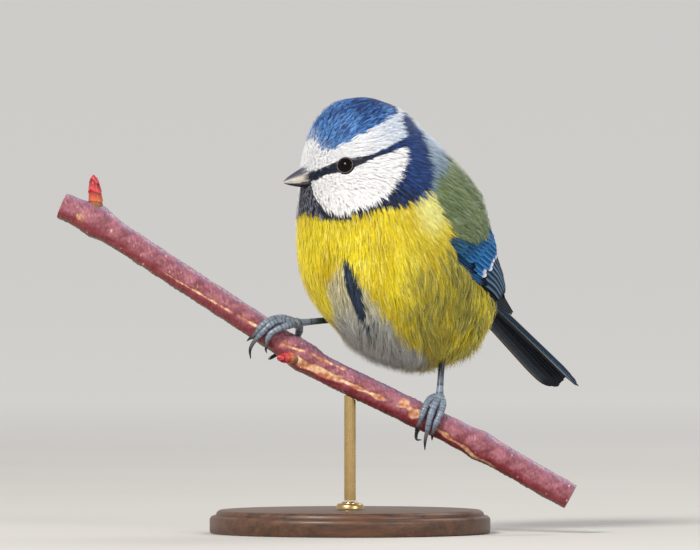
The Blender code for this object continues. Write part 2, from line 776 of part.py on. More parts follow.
def branch_frame(at_x):
    """The branch's middle, tangent, top and front directions at a place along X."""
    path = smooth_curve(BRANCH, 200)
    k = int(np.argmin(abs(path[:, 0] - at_x)))
    along = unit(path[min(k + 2, 199)] - path[max(k - 2, 0)])
    top = unit(np.array([0.0, 0.0, 1.0]) - along * along[2])
    return path[k], along, top, np.cross(along, top)


def round_branch(at_x, spots):
    """Points given along, degrees round and out from the branch's middle line."""
    centre, along, top, front = branch_frame(at_x)
    placed = []
    for shift, degrees, out in spots:
        angle = math.radians(degrees)
        ring = top * math.cos(angle) + front * math.sin(angle)
        placed.append(centre + along * shift + ring * out)
    return np.array(placed)


def make_branch(bark, bud_red):
    path, radii = branch_path()
    tube("perch", path, radii, BRANCH_SIDES, bark)
    for name, (at_x, degrees, length, radius, (lean, rise)) in BUDS.items():
        _, along, top, front = branch_frame(at_x)
        angle = math.radians(degrees)
        way = unit(top * math.cos(angle) + front * math.sin(angle) + along * lean + top * rise)
        foot = round_branch(at_x, [(0.0, degrees, BRANCH_RADIUS - BUD_ROOT)])[0]
        shares, widths = np.array(BUD_SHAPE).T
        line = foot + way * (shares * length)[:, None]
        bud = tube(name, line, radius * widths, BUD_SIDES, bud_red)
        cutter = tube("cutter", path, radii + GAP, BRANCH_SIDES)
        apply_boolean(bud, "DIFFERENCE", [cutter])


# Legs


def make_leg(side, finish, horn):
    foot = FEET[side]
    at = foot["place"]
    pad = round_branch(at, [foot["pad"]])[0]
    ankle = np.array(foot["ankle"])
    path = smooth_curve([pad, pad + (ankle - pad) * TARSUS_BEND, ankle], 6)
    thick, thin = TARSUS_RADII
    pieces = [
        tube("tarsus", path, np.array([thick, 1.1 * thin, thin, thin, thin, thick]), 8),
        ball("pad", pad, PAD_RADIUS, None, 6, 8),
    ]
    for number, (spots, claw_spots) in enumerate(zip(foot["toes"], foot["claws"]), start=1):
        line = np.concatenate([[pad], round_branch(at, spots)])
        line = smooth_curve(line, 8)
        radii = np.linspace(*TOE_RADII, len(line))
        pieces.append(tube("toe", line, radii, 6))
        end = line[-1]
        ahead = unit(line[-1] - line[-2])
        hooked = np.concatenate([[end + ahead * GAP], round_branch(at, claw_spots)])
        hooked = smooth_curve(hooked, 6)
        tube(f"claw_{side}_{number}", hooked, np.linspace(*CLAW_RADII, 6), CLAW_SIDES, horn)
    leg = fused(f"leg_{side}", pieces, finish)
    apply_boolean(leg, "DIFFERENCE", [body_cutter()])


# Stand


def make_stand(wood, brass):
    turn = np.linspace(0, 2 * math.pi, BASE_SIDES, endpoint=False)
    profile = [
        (BASE_RADIUS, 0.0),
        (BASE_RADIUS, BASE_HEIGHT - BASE_BEVEL),
        (BASE_RADIUS - BASE_BEVEL, BASE_HEIGHT),
    ]
    rings = [
        np.stack([r * np.cos(turn), r * np.sin(turn), np.full(BASE_SIDES, z)], axis=1)
        for r, z in profile
    ]
    faces = []
    for k in range(len(profile) - 1):
        for j in range(BASE_SIDES):
            n = (j + 1) % BASE_SIDES
            a, b = k * BASE_SIDES + j, k * BASE_SIDES + n
            faces += [(a, b, b + BASE_SIDES, a + BASE_SIDES)]
    top = (len(profile) - 1) * BASE_SIDES
    faces += [tuple(range(BASE_SIDES))[::-1], tuple(range(top, top + BASE_SIDES))]
    add_object("stand_base", np.concatenate(rings), faces, wood)

    seat = BASE_HEIGHT + GAP
    radius, height = COLLAR_SIZE
    branch = branch_frame(0.0)[0]
    foot = np.array([0.0, branch[1], 0.0])
    line = foot + np.array([[0, 0, seat], [0, 0, seat + height]], float)
    tube("stand_collar", line, np.array([radius, radius * 0.8]), COLLAR_SIDES, brass)
    low = seat + height + GAP
    line = foot + np.array([[0, 0, low], [0, 0, branch[2]]], float)
    rod = tube("stand_rod", line, np.array([ROD_RADIUS] * 2), ROD_SIDES, brass)
    path, radii = branch_path()
    apply_boolean(rod, "DIFFERENCE", [tube("cutter", path, radii + GAP, BRANCH_SIDES)])


def finish_meshes():
    """Millimetres into metres, with round pieces shaded smooth."""
    for made in bpy.context.scene.objects:
        made.data.transform(Matrix.Scale(MM, 4))
        made.data.shade_smooth()
        made.data.set_sharp_from_angle(angle=math.radians(SHARP_ANGLE))


def main():
    for old in list(bpy.data.objects):
        bpy.data.objects.remove(old, do_unlink=True)
    yellow = material("breast_yellow", (0.75, 0.62, 0.06), 0.8)
    collar_blue = material("collar_blue", (0.02, 0.05, 0.16), 0.8)
    white = material("face_white", (0.8, 0.8, 0.78), 0.8)
    wing_blue = material("wing_blue", (0.08, 0.22, 0.45), 0.55)
    tail_blue = material("tail_blue", (0.1, 0.16, 0.24), 0.55)
    skin_grey = material("leg_grey", (0.2, 0.25, 0.3), 0.45)
    horn = material("horn_black", (0.03, 0.03, 0.03), 0.35)
    bark = material("bark_red", (0.28, 0.07, 0.08), 0.6)
    bud_red = material("bud_red", (0.7, 0.06, 0.07), 0.4)
    wood = material("base_wood", (0.06, 0.04, 0.03), 0.4)
    brass = material("rod_brass", (0.6, 0.45, 0.2), 0.3, 1.0)
    make_torso(yellow)
    make_neck(collar_blue)
    make_head(white)
    make_eyes(horn)
    make_bill(horn)
    make_wing("wing_left", 1, wing_blue)
    make_wing("wing_right", -1, wing_blue)
    make_tail(tail_blue)
    make_branch(bark, bud_red)
    make_leg("left", skin_grey, horn)
    make_leg("right", skin_grey, horn)
    make_stand(wood, brass)
    finish_meshes()


main()
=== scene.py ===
"""Looks of the blue tit on its cut length of branch and its stand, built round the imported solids.

Lengths are in millimetres, and each mesh is scaled by MM into metres when it is made. The bird's own
frames, forward, left and up, and the named sizes of its forms are those of the solids.
"""

import math

import bmesh
import bpy
import numpy as np
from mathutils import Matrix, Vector, kdtree


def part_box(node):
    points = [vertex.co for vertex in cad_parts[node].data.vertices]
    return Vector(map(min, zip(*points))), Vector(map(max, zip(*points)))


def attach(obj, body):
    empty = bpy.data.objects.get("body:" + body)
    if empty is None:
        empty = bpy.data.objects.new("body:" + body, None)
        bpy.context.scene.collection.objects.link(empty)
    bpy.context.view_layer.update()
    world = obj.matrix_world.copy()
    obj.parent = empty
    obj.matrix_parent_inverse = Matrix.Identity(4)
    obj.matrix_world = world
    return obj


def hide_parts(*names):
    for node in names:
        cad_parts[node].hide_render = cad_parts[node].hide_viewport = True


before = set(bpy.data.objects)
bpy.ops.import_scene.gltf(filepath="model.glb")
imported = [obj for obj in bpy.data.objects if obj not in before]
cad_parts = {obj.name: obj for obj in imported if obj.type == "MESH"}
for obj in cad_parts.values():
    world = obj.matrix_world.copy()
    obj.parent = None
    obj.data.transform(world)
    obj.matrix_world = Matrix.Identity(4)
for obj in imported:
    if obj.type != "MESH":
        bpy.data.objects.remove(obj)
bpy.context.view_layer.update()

MM = 0.001

# Pose: headings turn from the front of the stand towards its left, in degrees
BODY_HEADING = 36.0
HEAD_HEADING = 68.0
HEAD_PITCH = -13.0
BODY_CENTRE = np.array([11.5, 2.0, 66.2])
HEAD_ON_BODY = np.array([10.0, -2.0, 30.0])

# Plumage: frame, centre, radii, pitch of its long axis, width of the blend with those before it
BLOBS = {
    "breast": ("body", (2.3, 0.0, 7.4), (24.9, 22.7, 26.0), -22.0, 0.0),
    "rump": ("body", (-20.0, 0.0, -1.5), (18.5, 14.0, 11.4), 20.0, 13.0),
    "flanks": ("body", (-11.0, 0.0, -10.3), (16.3, 18.4, 12.7), 4.5, 8.0),
    "mantle": ("body", (-6.3, 0.0, 14.0), (17.9, 18.1, 14.7), -26.0, 8.0),
    "nape": ("body", (7.4, -0.5, 22.4), (17.6, 17.7, 15.0), -11.0, 8.0),
    "crown": ("head", (0.7, 0.0, -0.8), (15.3, 13.5, 16.7), 0.0, 6.0),
}

# Head
EYE_RADIUS = 2.9
LID_RADIUS = 1.95
LID_SCALES = 26
EYE_GRID = (64, 40)  # segments and rings of an eyeball
LID_GRID = (96, 12)  # points round the eye and round the rim's section
# Bill stations: forward, culmen, mouth line, lower edge, half width
BILL = [
    (13.5, 2.2, -2.6, -4.6, 2.5),
    (16.6, 1.6, -2.5, -4.0, 2.15),
    (18.4, 1.15, -2.3, -3.65, 1.7),
    (20.3, 0.55, -2.0, -3.0, 1.2),
    (22.1, -0.15, -1.6, -2.2, 0.7),
    (23.3, -0.85, -1.3, -1.55, 0.28),
]
BILL_STATIONS = 40
BILL_SIDES = 17

# Wing, in the body's frame for the left side: its lower and upper edges from wrist to tip
WING_LOW = [(12.0, 20.5, 8.0), (-7.0, 21.5, 0.0), (-25.0, 15.5, -6.0), (-41.0, 9.5, -11.8)]
WING_HIGH = [(2.0, 17.0, 17.0), (-13.0, 15.5, 13.0), (-28.5, 8.0, 4.0), (-41.0, 6.8, -8.6)]
WING_SINK = (2.0, -0.2)  # how far the lowest vanes lie under the plumage's outline, in front and behind
WING_RISE = (0.2, 0.5)  # shares of its length between which the sink goes from one to the other
WING_CLEAR = 0.8  # how far they lie over it where the wing has left the body
WING_FREE = (0.6, 0.85)  # shares of its length between which the wing leaves the body
# Where the wing shows: shares along it, then the lowest and highest shares across it
WING_SHOWN = (0.07, 0.72)
WING_BARE_LOW = [(0.0, 0.3), (0.08, 0.1), (0.14, 0.0), (0.25, -0.05), (0.4, -1.0)]
WING_BARE_TOP = [(0.0, 0.3), (0.1, 0.36), (0.2, 0.42), (0.27, 0.6), (0.37, 0.82), (0.46, 1.05), (0.6, 2.0)]
WING_GRID = (50, 24)  # points along and across it by which the coat finds it
WING_NEAR = 2.3

# Vanes: stations across a feather and along it, its thickness and how far its lower edge stands up
ACROSS = np.array([-1.0, -0.82, -0.5, -0.24, -0.12, 0.0, 0.3, 0.7, 1.0])
ALONG = np.array([0, 0.12, 0.25, 0.38, 0.5, 0.6, 0.7, 0.78, 0.85, 0.9, 0.94, 0.97, 0.99, 1.0])
SHAFT = abs(ACROSS + 0.12) < 0.01
VANE_THICKNESS = 0.22
VANE_TILT = 0.2

# Tail, in the body's frame
TAIL_ROOT = (-34.0, 0.0, -2.1)
TAIL_SLOPE = 29.0
TAIL_LENGTHS = [49.6, 50.7, 51.5, 52.1, 51.9, 50.5]  # middle pair first
TAIL_HALF_WIDTH = 2.5
TAIL_STEP = 0.92  # from one feather's middle to the next, round the arch
TAIL_ARCH = 9.0
TAIL_LAYER = 0.34
TAIL_POINT = 0.88  # the share of a feather from which it narrows

# Branch: points of its middle line, from its upper left end to its lower right end
BRANCH_RADIUS = 3.5
BRANCH = [
    (-74.0, 5.6, 84.0), (-66.5, 5.0, 80.7), (-59.0, 4.4, 76.0), (-43.6, 3.5, 65.9), (-28.2, 2.5, 55.9),
    (-17.9, 1.6, 49.1), (-7.7, 0.7, 42.6), (2.6, -0.2, 37.5), (12.8, -1.1, 32.6), (28.2, -2.4, 25.1),
    (38.5, -3.3, 19.6), (48.7, -4.2, 13.7), (56.4, -4.9, 9.5),
]
BRANCH_GRID = (900, 100)  # rings along it and points round each
# Swellings: place along X, height and half length
KNOTS = [(-65.5, 1.0, 3.0), (-12.5, 0.7, 2.6), (33.5, 0.6, 2.2)]
# Buds: foot on the branch by X, angle round it from its top towards the front, length, radius, lean
BUDS = {
    "perch_bud_upper": (-66.7, 8.0, 9.0, 2.0, (-0.62, 0.0)),
    "perch_bud_lower": (-13.2, 118.0, 5.6, 1.6, (-0.9, -0.1)),
}
BUD_GRID = (40, 24)
# Peeled streaks of the bark: start and end along X, degrees round from the top towards the front at both,
# and half width in degrees
PEELS = [
    (-46.5, -30.0, 114, 97, 4), (-28.4, -22.4, 92, 86, 5), (-17.5, -12.2, 94, 66, 6),
    (-10.8, -2.0, 60, 40, 7), (-13.4, -2.0, 112, 94, 18), (-3.0, 9.5, 98, 90, 8),
    (12.4, 18.2, 70, 84, 20), (22.4, 38.8, 106, 152, 9),
]
SCAR = (-68.6, 106)  # place along X and degrees round
RAGGED = np.array([0.4, 1.0, 0.6])  # squeezes the noise of the peeled edges along the branch

# Feet. Toe points are along the branch from the foot's place, degrees round it from its top
# towards the front, and distance from its middle line.
FEET = {
    "right": {
        "place": -17.2,
        "pad": (-0.2, 4.0, 6.3),
        "ankle": (0.5, 8.0, 55.2),
        "toes": [
            [(-2.2, 8, 6.1), (-4.8, 20, 5.2), (-6.4, 52, 4.7), (-7.1, 84, 4.6), (-7.2, 104, 4.6)],
            [(-1.8, 15, 5.9), (-4.1, 34, 5.1), (-5.4, 62, 4.7), (-6.0, 96, 4.6), (-6.4, 122, 4.9)],
            [(-1.2, 30, 5.9), (-2.9, 56, 5.0), (-3.9, 80, 4.6), (-3.9, 100, 4.6), (-3.6, 112, 4.6)],
            [(0.9, -14, 5.9), (1.5, -45, 4.9), (1.2, -80, 4.6), (0.5, -110, 4.6), (-0.1, -125, 4.6)],
        ],
        "claws": [
            [(-7.5, 122, 4.8), (-8.0, 138, 5.0), (-8.2, 152, 5.0)],
            [(-6.5, 136, 5.8), (-6.1, 144, 7.3), (-4.9, 155, 8.4)],
            [(-3.2, 127, 4.7), (-2.8, 141, 4.8), (-2.3, 153, 4.7)],
            [(-0.7, -146, 5.0), (-1.2, -168, 5.4), (-1.1, -192, 5.2)],
        ],
    },
    "left": {
        "place": 21.3,
        "pad": (-1.1, 4.0, 6.3),
        "ankle": (24.0, 3.4, 50.4),
        "toes": [
            [(-2.4, 10, 6.0), (-3.2, 32, 5.0), (-3.1, 60, 4.7), (-2.9, 84, 4.6), (-2.7, 98, 4.6)],
            [(-1.3, 22, 5.9), (-1.2, 50, 4.9), (-0.8, 80, 4.7), (-0.3, 108, 4.6), (0.1, 127, 4.9)],
            [(0.1, 14, 6.0), (0.9, 38, 5.0), (1.1, 66, 4.7), (1.2, 90, 4.6), (1.3, 104, 4.6)],
            [(-0.4, -16, 5.9), (-0.8, -45, 4.9), (-1.5, -80, 4.6), (-2.2, -112, 4.6), (-2.6, -127, 4.7)],
        ],
        "claws": [
            [(-2.7, 117, 4.8), (-2.8, 133, 5.0), (-2.6, 148, 5.0)],
            [(0.4, 140, 5.8), (0.9, 146, 7.0), (1.5, 157, 7.8)],
            [(1.5, 120, 4.8), (1.8, 136, 4.9), (2.0, 150, 4.8)],
            [(-2.7, -145, 5.3), (-1.9, -165, 6.1), (-0.6, -186, 5.4)],
        ],
    },
}
TOE_RADII = (0.95, 0.62)
TOE_JOINTS = (0.3, 0.56, 0.8)
CLAW_SIZES = (0.62, 0.46, 0.12)
TARSUS_RADII = (1.15, 0.9, 0.8, 0.8)
PAD_RADIUS = 1.45
LEG_STEPS = (72, 90, 24)  # points along a tarsus, a toe and a claw
LEG_SIDES = 16
CLAW_SIDES = 12

# Stand
ROD_RADIUS = 1.5

# Coat: depths of the skin under the plumage's outline on the head and on the body
SKIN_DEPTH = (0.35, 1.2)
BILL_ROOT = (15.0, 0.0, -1.5)  # in the head's frame: the head's feathers lie back from it
# Tufts: how far apart they grow, their barbs, half widths and how wide a barb is, by length
BARB_LENGTHS = [1.0, 2.5, 7.5]
TUFT_APART = [0.27, 0.34, 0.51]
BARBS = [4, 4, 8]
TUFT_HALVES = [0.08, 0.1, 0.25]
BARB_WIDTHS = [0.08, 0.1, 0.13]
TUFT_TURN = 0.06
STRAY_SHARE = 0.07  # of barbs, whose tips stand off the coat
SEEN_AT = 0.55  # the share of a tuft's length at which its colour is read
BLADE_RIDGE = 0.35  # height of a barb over its width
PATCH = 0.003  # size of a barb's own patch in the unwrap
BRISTLES = 520
# How far barbs stay from an eye's axis, and the box ahead of the head that they leave to the bill:
# its start, half width, top and bottom
EYE_CLEAR = {"root": 2.35, "middle": 2.3, "tip": 2.15}
BILL_CLEAR = (17.0, 2.3, 1.9, -4.2)

# Markings of the head, for each side alike: degrees round from straight ahead, and up
CAP_LOW = [(0, 30), (11, 28.5), (23, 18.8), (35, 17), (58, 25.6), (91, 35.4), (149, 45), (180, 46)]
BROW_LOW = [(0, 0), (22, 1.3), (41, 6), (60, 6.5), (72, 5.5), (91, 9.2), (120, 15), (136, 34), (180, 40)]
STRIPE_LOW = [(0, -7), (16, -7), (29, -4), (41, -4.2), (60, -1.9), (79, 2.4), (102, 4.1), (113, 5.3)]
CHEEK = (11, 113)  # where the cheek starts and ends
CHEEK_LOW = [(11, -8), (13, -14.6), (18, -20.4), (26, -26.6), (34, -29.6), (42, -31), (65, -28.9),
             (78, -26.3), (87, -20.7), (105, -6.6), (113, 5.3)]
COLLAR_LOW = [(0, -27.5), (21, -30.9), (45, -32.9), (73, -31.2), (86, -32.4), (101, -30.7),
              (112, -27.7), (123, -18.5), (132, -7.7), (146, 9), (152, 23), (180, 26)]
NAPE_LOW = [(101, -31), (117, -28), (129, -21), (153, -14), (180, -8)]
# Markings of the body: degrees up, then degrees round
BACK_EDGE = [(-60, 180), (-35, 172), (-20, 150), (-6, 122), (6, 96), (22, 78), (38, 66), (60, 50)]
STRIPE_MIDDLE = [(-46, 9), (-30, 10.4), (-21, 10.6), (-12, 11.4), (5, 8.4)]
STRIPE_HALF = [(-46, 0.4), (-34, 1.2), (-24, 3.2), (-12, 4.4), (3, 3.4), (7, 0.0)]
BELLY_MIDDLE = [(-57, -8), (-27, 6), (-3, 5), (5, 6)]
BELLY_HALF = [(-75, 180), (-57, 54), (-27, 20.5), (-9, 14), (-3, 10), (6, 0)]
STREAK = np.array([1.0, 1.0, 0.2])  # squeezes the noise that makes streaks run down the body

# Painted finishes: roughness, how far noise varies the colour, the noise's scale and its depth in metres,
# sheen and specular level
FINISHES = {
    "skin_down": (0.7, 0.15, 900, 0.0001, 0.0, 0.3),
    "plumage": (0.55, 0.1, 1500, 0.00002, 0.25, 0.3),
    "vanes": (0.6, 0.14, 1400, 0.00002, 0.0, 0.04),
    "scutes": (0.34, 0.24, 1300, 0.00006, 0.0, 0.45),
    "horn": (0.3, 0.16, 900, 0.00003, 0.0, 0.3),
    "bark": (0.42, 0.2, 1100, 0.00008, 0.0, 0.3),
    "bud": (0.3, 0.15, 700, 0.00004, 0.0, 0.3),
}
SHARP_EDGE = 50  # degrees from which an edge is not smoothed
SKIN_VOXEL = 0.9

# Stage, in metres: where its floor starts to rise, how high it stands at its rim, and its rim's radius
STAGE_FLAT = 1.2
STAGE_RISE = 1.5
STAGE_RADIUS = 4.5
STAGE_GLOW = 0.54
STAGE_FADE = (0.62, 0.88)  # shares of the way in from the rim between which the glow fades
STAGE_STEPS = 96
# Lamps: place in metres, size across, power and colour
LAMPS = {
    "key": ((-0.75, -1.15, 1.15), 0.5, 31.5, (1.0, 0.965, 0.91)),
    "fill": ((1.8, -1.8, 0.95), 1.0, 21.5, (0.93, 0.96, 1.0)),
    "rim": ((0.7, 0.9, 1.1), 0.8, 8.0, (1.0, 0.98, 0.95)),
}
LAMPS_AIM = (0.0, 0.0, 0.065)
SKY = (0.86, 0.9, 1.0, 1.0)
SKY_STRENGTH = 0.42

# Camera
CAMERA_AWAY = 2.0
CAMERA_HEIGHT = 66.2
SENSOR = 36.0
FRAME_WIDTH = 179.5  # of the photograph, at the bird's distance


def srgb(red, green, blue):
    """A colour from 0 to 255 as the eye sees it, as the light that it sends back."""
    value = np.array([red, green, blue]) / 255
    return np.where(value <= 0.04045, value / 12.92, ((value + 0.055) / 1.055) ** 2.4)


# Colours of the plumage, each from its usual tone to its darker or paler ones
CAP = (srgb(92, 148, 212), srgb(40, 86, 152), srgb(18, 38, 88))
WHITE = (srgb(247, 247, 247), srgb(238, 238, 240), srgb(178, 198, 222))
INK = srgb(28, 31, 42)
NAVY = (srgb(32, 68, 132), srgb(13, 22, 44))
BIB_PALE = srgb(146, 148, 158)
NAPE = (srgb(180, 198, 218), srgb(126, 148, 166))
GREEN = (srgb(128, 146, 92), srgb(84, 102, 70), srgb(158, 170, 146))
RUMP = srgb(146, 156, 92)
# The palest yellow also paints the highlight at the shoulder
YELLOW = (srgb(240, 218, 36), srgb(204, 176, 14), srgb(250, 244, 146))
OLIVE = (srgb(172, 164, 70), srgb(98, 94, 46))
BELLY = (srgb(228, 230, 224), srgb(104, 110, 112))
BELLY_INK = (srgb(34, 46, 64), srgb(64, 84, 112))
BRISTLE = srgb(90, 88, 90)

# Wing tiers: count, roots and tips of the lowest and highest feather, half width, heights, start of the
# tip's curve, then colours of the outer edge, the outer web, the inner web and the tip
BLACK = srgb(20, 21, 25)
TIERS = [
    (8, [(0.40, 0.00), (0.46, 0.50)], [(0.88, -0.04), (1.00, 0.72)], 2.4, (0.0, 0.35), 0.78,
     (srgb(36, 42, 52), BLACK, BLACK, BLACK)),
    (8, [(0.36, 0.06), (0.44, 0.78)], [(0.69, 0.04), (0.90, 0.96)], 2.3, (0.45, 0.8), 0.8,
     (srgb(94, 124, 152), srgb(28, 44, 62), BLACK, srgb(32, 36, 44))),
    (3, [(0.42, 0.82), (0.45, 0.97)], [(0.78, 0.96), (0.66, 1.04)], 2.6, (0.95, 1.25), 0.84,
     (srgb(140, 158, 152), srgb(74, 98, 98), srgb(50, 64, 68), srgb(112, 130, 130))),
    (4, [(0.12, -0.04), (0.15, 0.06)], [(0.46, -0.03), (0.42, 0.07)], 1.3, (0.7, 0.95), 0.8,
     (srgb(54, 108, 158), srgb(24, 66, 112), BLACK, BLACK)),
    (9, [(0.20, 0.15), (0.30, 0.88)], [(0.40, 0.10), (0.52, 0.93)], 1.9, (1.1, 1.35), 0.84,
     (srgb(64, 134, 190), srgb(26, 82, 138), srgb(14, 24, 40), srgb(214, 214, 230))),
    (3, [(0.09, 0.04), (0.11, 0.14)], [(0.34, 0.03), (0.31, 0.12)], 1.2, (1.2, 1.35), 0.8,
     (srgb(40, 84, 126), srgb(14, 26, 42), BLACK, srgb(14, 20, 30))),
    (10, [(0.15, 0.2), (0.22, 0.88)], [(0.29, 0.17), (0.40, 0.92)], 1.6, (1.5, 1.65), 0.7,
     (srgb(58, 120, 176), srgb(22, 70, 122), srgb(12, 22, 40), srgb(46, 104, 156))),
    (10, [(0.11, 0.2), (0.16, 0.86)], [(0.22, 0.18), (0.31, 0.9)], 1.5, (1.66, 1.8), 0.62,
     (srgb(56, 110, 156), srgb(26, 66, 108), srgb(10, 18, 32), srgb(42, 86, 124))),
    (10, [(0.07, 0.18), (0.11, 0.82)], [(0.16, 0.18), (0.23, 0.88)], 1.4, (1.78, 1.9), 0.6,
     (srgb(66, 114, 148), srgb(34, 70, 104), srgb(14, 24, 38), srgb(52, 92, 120))),
    (5, [(0.03, 0.2), (0.05, 0.4)], [(0.11, 0.2), (0.13, 0.44)], 1.3, (1.88, 1.95), 0.58,
     (srgb(64, 98, 122), srgb(34, 58, 80), srgb(20, 32, 48), srgb(54, 80, 96))),
]
# Tail: edges of the middle pair, the pairs between and the outer pair, then the webs and the tip
TAIL_EDGES = (srgb(130, 166, 204), srgb(114, 144, 176), srgb(170, 176, 180))
TAIL_TONES = (srgb(104, 134, 170), srgb(64, 78, 98), srgb(74, 88, 106))
# Painted shade on the tail's undersides, which also turns them from blue to the duller grey that they have
TAIL_UNDER_SHADE = np.array([0.42, 0.34, 0.27])  # shares of the upper side's colour


# Shapes


def frame_axes(heading, pitch=0.0):
    """Rows: forward, left and up."""
    turn, nod = math.radians(heading), math.radians(pitch)
    ahead = np.array([-math.sin(turn), -math.cos(turn), 0.0])
    left = np.array([math.cos(turn), -math.sin(turn), 0.0])
    up = np.array([0.0, 0.0, 1.0])
    forward = ahead * math.cos(nod) + up * math.sin(nod)
    return np.array([forward, left, up * math.cos(nod) - ahead * math.sin(nod)])


BODY_AXES = frame_axes(BODY_HEADING)
HEAD_AXES = frame_axes(HEAD_HEADING, HEAD_PITCH)
HEAD_CENTRE = BODY_CENTRE + HEAD_ON_BODY @ BODY_AXES
FRAMES = {"body": (BODY_CENTRE, BODY_AXES), "head": (HEAD_CENTRE, HEAD_AXES)}


def place(points, frame_name):
    """Points of a frame of the bird's, in the part's own frame."""
    centre, axes = FRAMES[frame_name]
    return centre + np.asarray(points, float) @ axes


def seen_from(points, frame_name):
    """Points of the part's own frame, in a frame of the bird's."""
    centre, axes = FRAMES[frame_name]
    return (points - centre) @ axes.T


def from_head(points):
    return np.linalg.norm(points - HEAD_CENTRE, axis=-1)


def pitched(axes, degrees):
    nod = math.radians(degrees)
    forward, left, up = axes
    ahead = forward * math.cos(nod) + up * math.sin(nod)
    return np.array([ahead, left, up * math.cos(nod) - forward * math.sin(nod)])


def ramp(value, low, high):
    share = np.clip((value - low) / (high - low), 0, 1)
    return share * share * (3 - 2 * share)


def unit(vectors):
    return vectors / np.linalg.norm(vectors, axis=-1, keepdims=True)


def circle(count):
    return np.linspace(0, 2 * math.pi, count, endpoint=False)


def interp_rows(at, places, rows):
    return np.stack([np.interp(at, places, rows[:, k]) for k in range(3)], axis=-1)


def smooth_curve(points, count):
    """Evenly spread points of a Catmull-Rom curve through the given ones."""
    points = np.asarray(points, float)
    p = np.concatenate([[2 * points[0] - points[1]], points, [2 * points[-1] - points[-2]]])
    t = np.linspace(0, 1, 24, endpoint=False)[:, None]
    dense = []
    for a, b, c, d in zip(p, p[1:], p[2:], p[3:]):
        curved = (2 * a - 5 * b + 4 * c - d) * t**2 + (3 * b - a - 3 * c + d) * t**3
        dense.append(0.5 * (2 * b + (c - a) * t + curved))
    dense = np.concatenate([*dense, points[-1:]])
    along = np.concatenate([[0], np.cumsum(np.linalg.norm(np.diff(dense, axis=0), axis=1))])
    return interp_rows(np.linspace(0, along[-1], count), along, dense)


def on_curve(points, share):
    """The point at a share of the length of a smooth curve, which goes straight on past its ends."""
    dense = smooth_curve(points, 101)
    at = np.asarray(share, float) * 100
    within = np.clip(at, 0, 100)
    onward = np.where((at > 50)[..., None], dense[100] - dense[99], dense[1] - dense[0])
    return interp_rows(within, np.arange(101), dense) + onward * (at - within)[..., None]


def plumage(points):
    """How far points lie outside the plumage's outline, near enough, and the way out of it."""
    found = way = None
    for frame_name, centre, radii, pitch, width in BLOBS.values():
        axes = pitched(FRAMES[frame_name][1], pitch)
        local = (points - place(centre, frame_name)) @ axes.T
        radii = np.array(radii)
        near = np.linalg.norm(local / radii, axis=-1)
        rise = local / radii**2
        steep = np.maximum(np.linalg.norm(rise, axis=-1), 1e-9)
        away = near * (near - 1) / steep
        normal = (rise / steep[..., None]) @ axes
        if found is None:
            found, way = away, normal
            continue
        share = np.clip(0.5 + 0.5 * (away - found) / width, 0, 1)
        found = away * (1 - share) + found * share - width * share * (1 - share)
        way = normal * (1 - share)[..., None] + way * share[..., None]
    return found, unit(way)


def laid_on(points, height, rounds=4):
    """Points moved to a height over the plumage's outline."""
    for _ in range(rounds):
        away, way = plumage(points)
        points = points + way * (height - away)[..., None]
    return points


def moved_out(points, clearance):
    """Points moved out until they clear the plumage's outline."""
    for _ in range(6):
        away, way = plumage(points)
        points = points + way * np.maximum(clearance - away, 0)[..., None]
    return points


def ripple(points, size, seed):
    """Smooth noise from about -1 to 1, whose waves are about that size across."""
    draw = np.random.default_rng(seed)
    total = np.zeros(points.shape[:-1])
    for _ in range(6):
        way = unit(draw.normal(size=3)) * (2 * math.pi / (size * draw.uniform(0.7, 1.5)))
        total = total + np.sin(points @ way + draw.uniform(0, 2 * math.pi))
    return total / 2.6


def angles_round(points, frame_name):
    """Degrees round from straight ahead towards the left, and degrees up, from a frame's centre."""
    ahead, left, up = seen_from(points, frame_name).T
    return np.degrees(np.arctan2(left, ahead)), np.degrees(np.arctan2(up, np.hypot(ahead, left)))


def read_edge(table, at):
    places, values = zip(*table)
    return np.interp(at, places, values)


def choose(found, where, colour):
    """Gives these places that colour, one for all or one for each."""
    return np.where(where[:, None], colour, found)


def mixed(first, second, share):
    share = np.clip(share, 0, 1)[:, None]
    return first * (1 - share) + second * share


# Meshes and materials


def triangle_mesh(name, vertices, triangles, finish):
    """A smooth mesh from arrays in millimetres."""
    mesh = bpy.data.meshes.new(name)
    mesh.vertices.add(len(vertices))
    mesh.vertices.foreach_set("co", (np.asarray(vertices) * MM).astype(np.float32).ravel())
    mesh.loops.add(3 * len(triangles))
    mesh.loops.foreach_set("vertex_index", np.asarray(triangles, np.int32).ravel())
    mesh.polygons.add(len(triangles))
    mesh.polygons.foreach_set("loop_start", np.arange(0, 3 * len(triangles), 3, dtype=np.int32))
    mesh.update(calc_edges=True)
    mesh.shade_smooth()
    mesh.materials.append(finish)
    made = bpy.data.objects.new(name, mesh)
    bpy.context.scene.collection.objects.link(made)
    return made


def paint(made, colours):
    """Sets a colour for each vertex."""
    attribute = made.data.color_attributes.new("Plumage", "FLOAT_COLOR", "POINT")
    rgba = np.concatenate([colours, np.ones((len(colours), 1))], axis=1)
    attribute.data.foreach_set("color", rgba.astype(np.float32).ravel())


def settle(made, slot_name, *nodes):
    """A finished piece rides on the one body and stands for its nodes, which are hidden. Its slot's name is
    not used.
    """
    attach(made, "root")
    if nodes:
        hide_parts(*nodes)
    return made


def joined(name, parts, finish):
    """One mesh of several closed parts, each given as vertices, triangles and colours."""
    shift, vertices, triangles, colours = 0, [], [], []
    for points, faces, tones in parts:
        vertices.append(points)
        triangles.append(np.asarray(faces) + shift)
        colours.append(tones)
        shift += len(points)
    made = triangle_mesh(name, np.concatenate(vertices), np.concatenate(triangles), finish)
    paint(made, np.concatenate(colours))
    editing = bmesh.new()
    editing.from_mesh(made.data)
    bmesh.ops.recalc_face_normals(editing, faces=editing.faces[:])
    editing.to_mesh(made.data)
    editing.free()
    made.data.shade_smooth()
    made.data.set_sharp_from_angle(angle=math.radians(SHARP_EDGE))
    return made


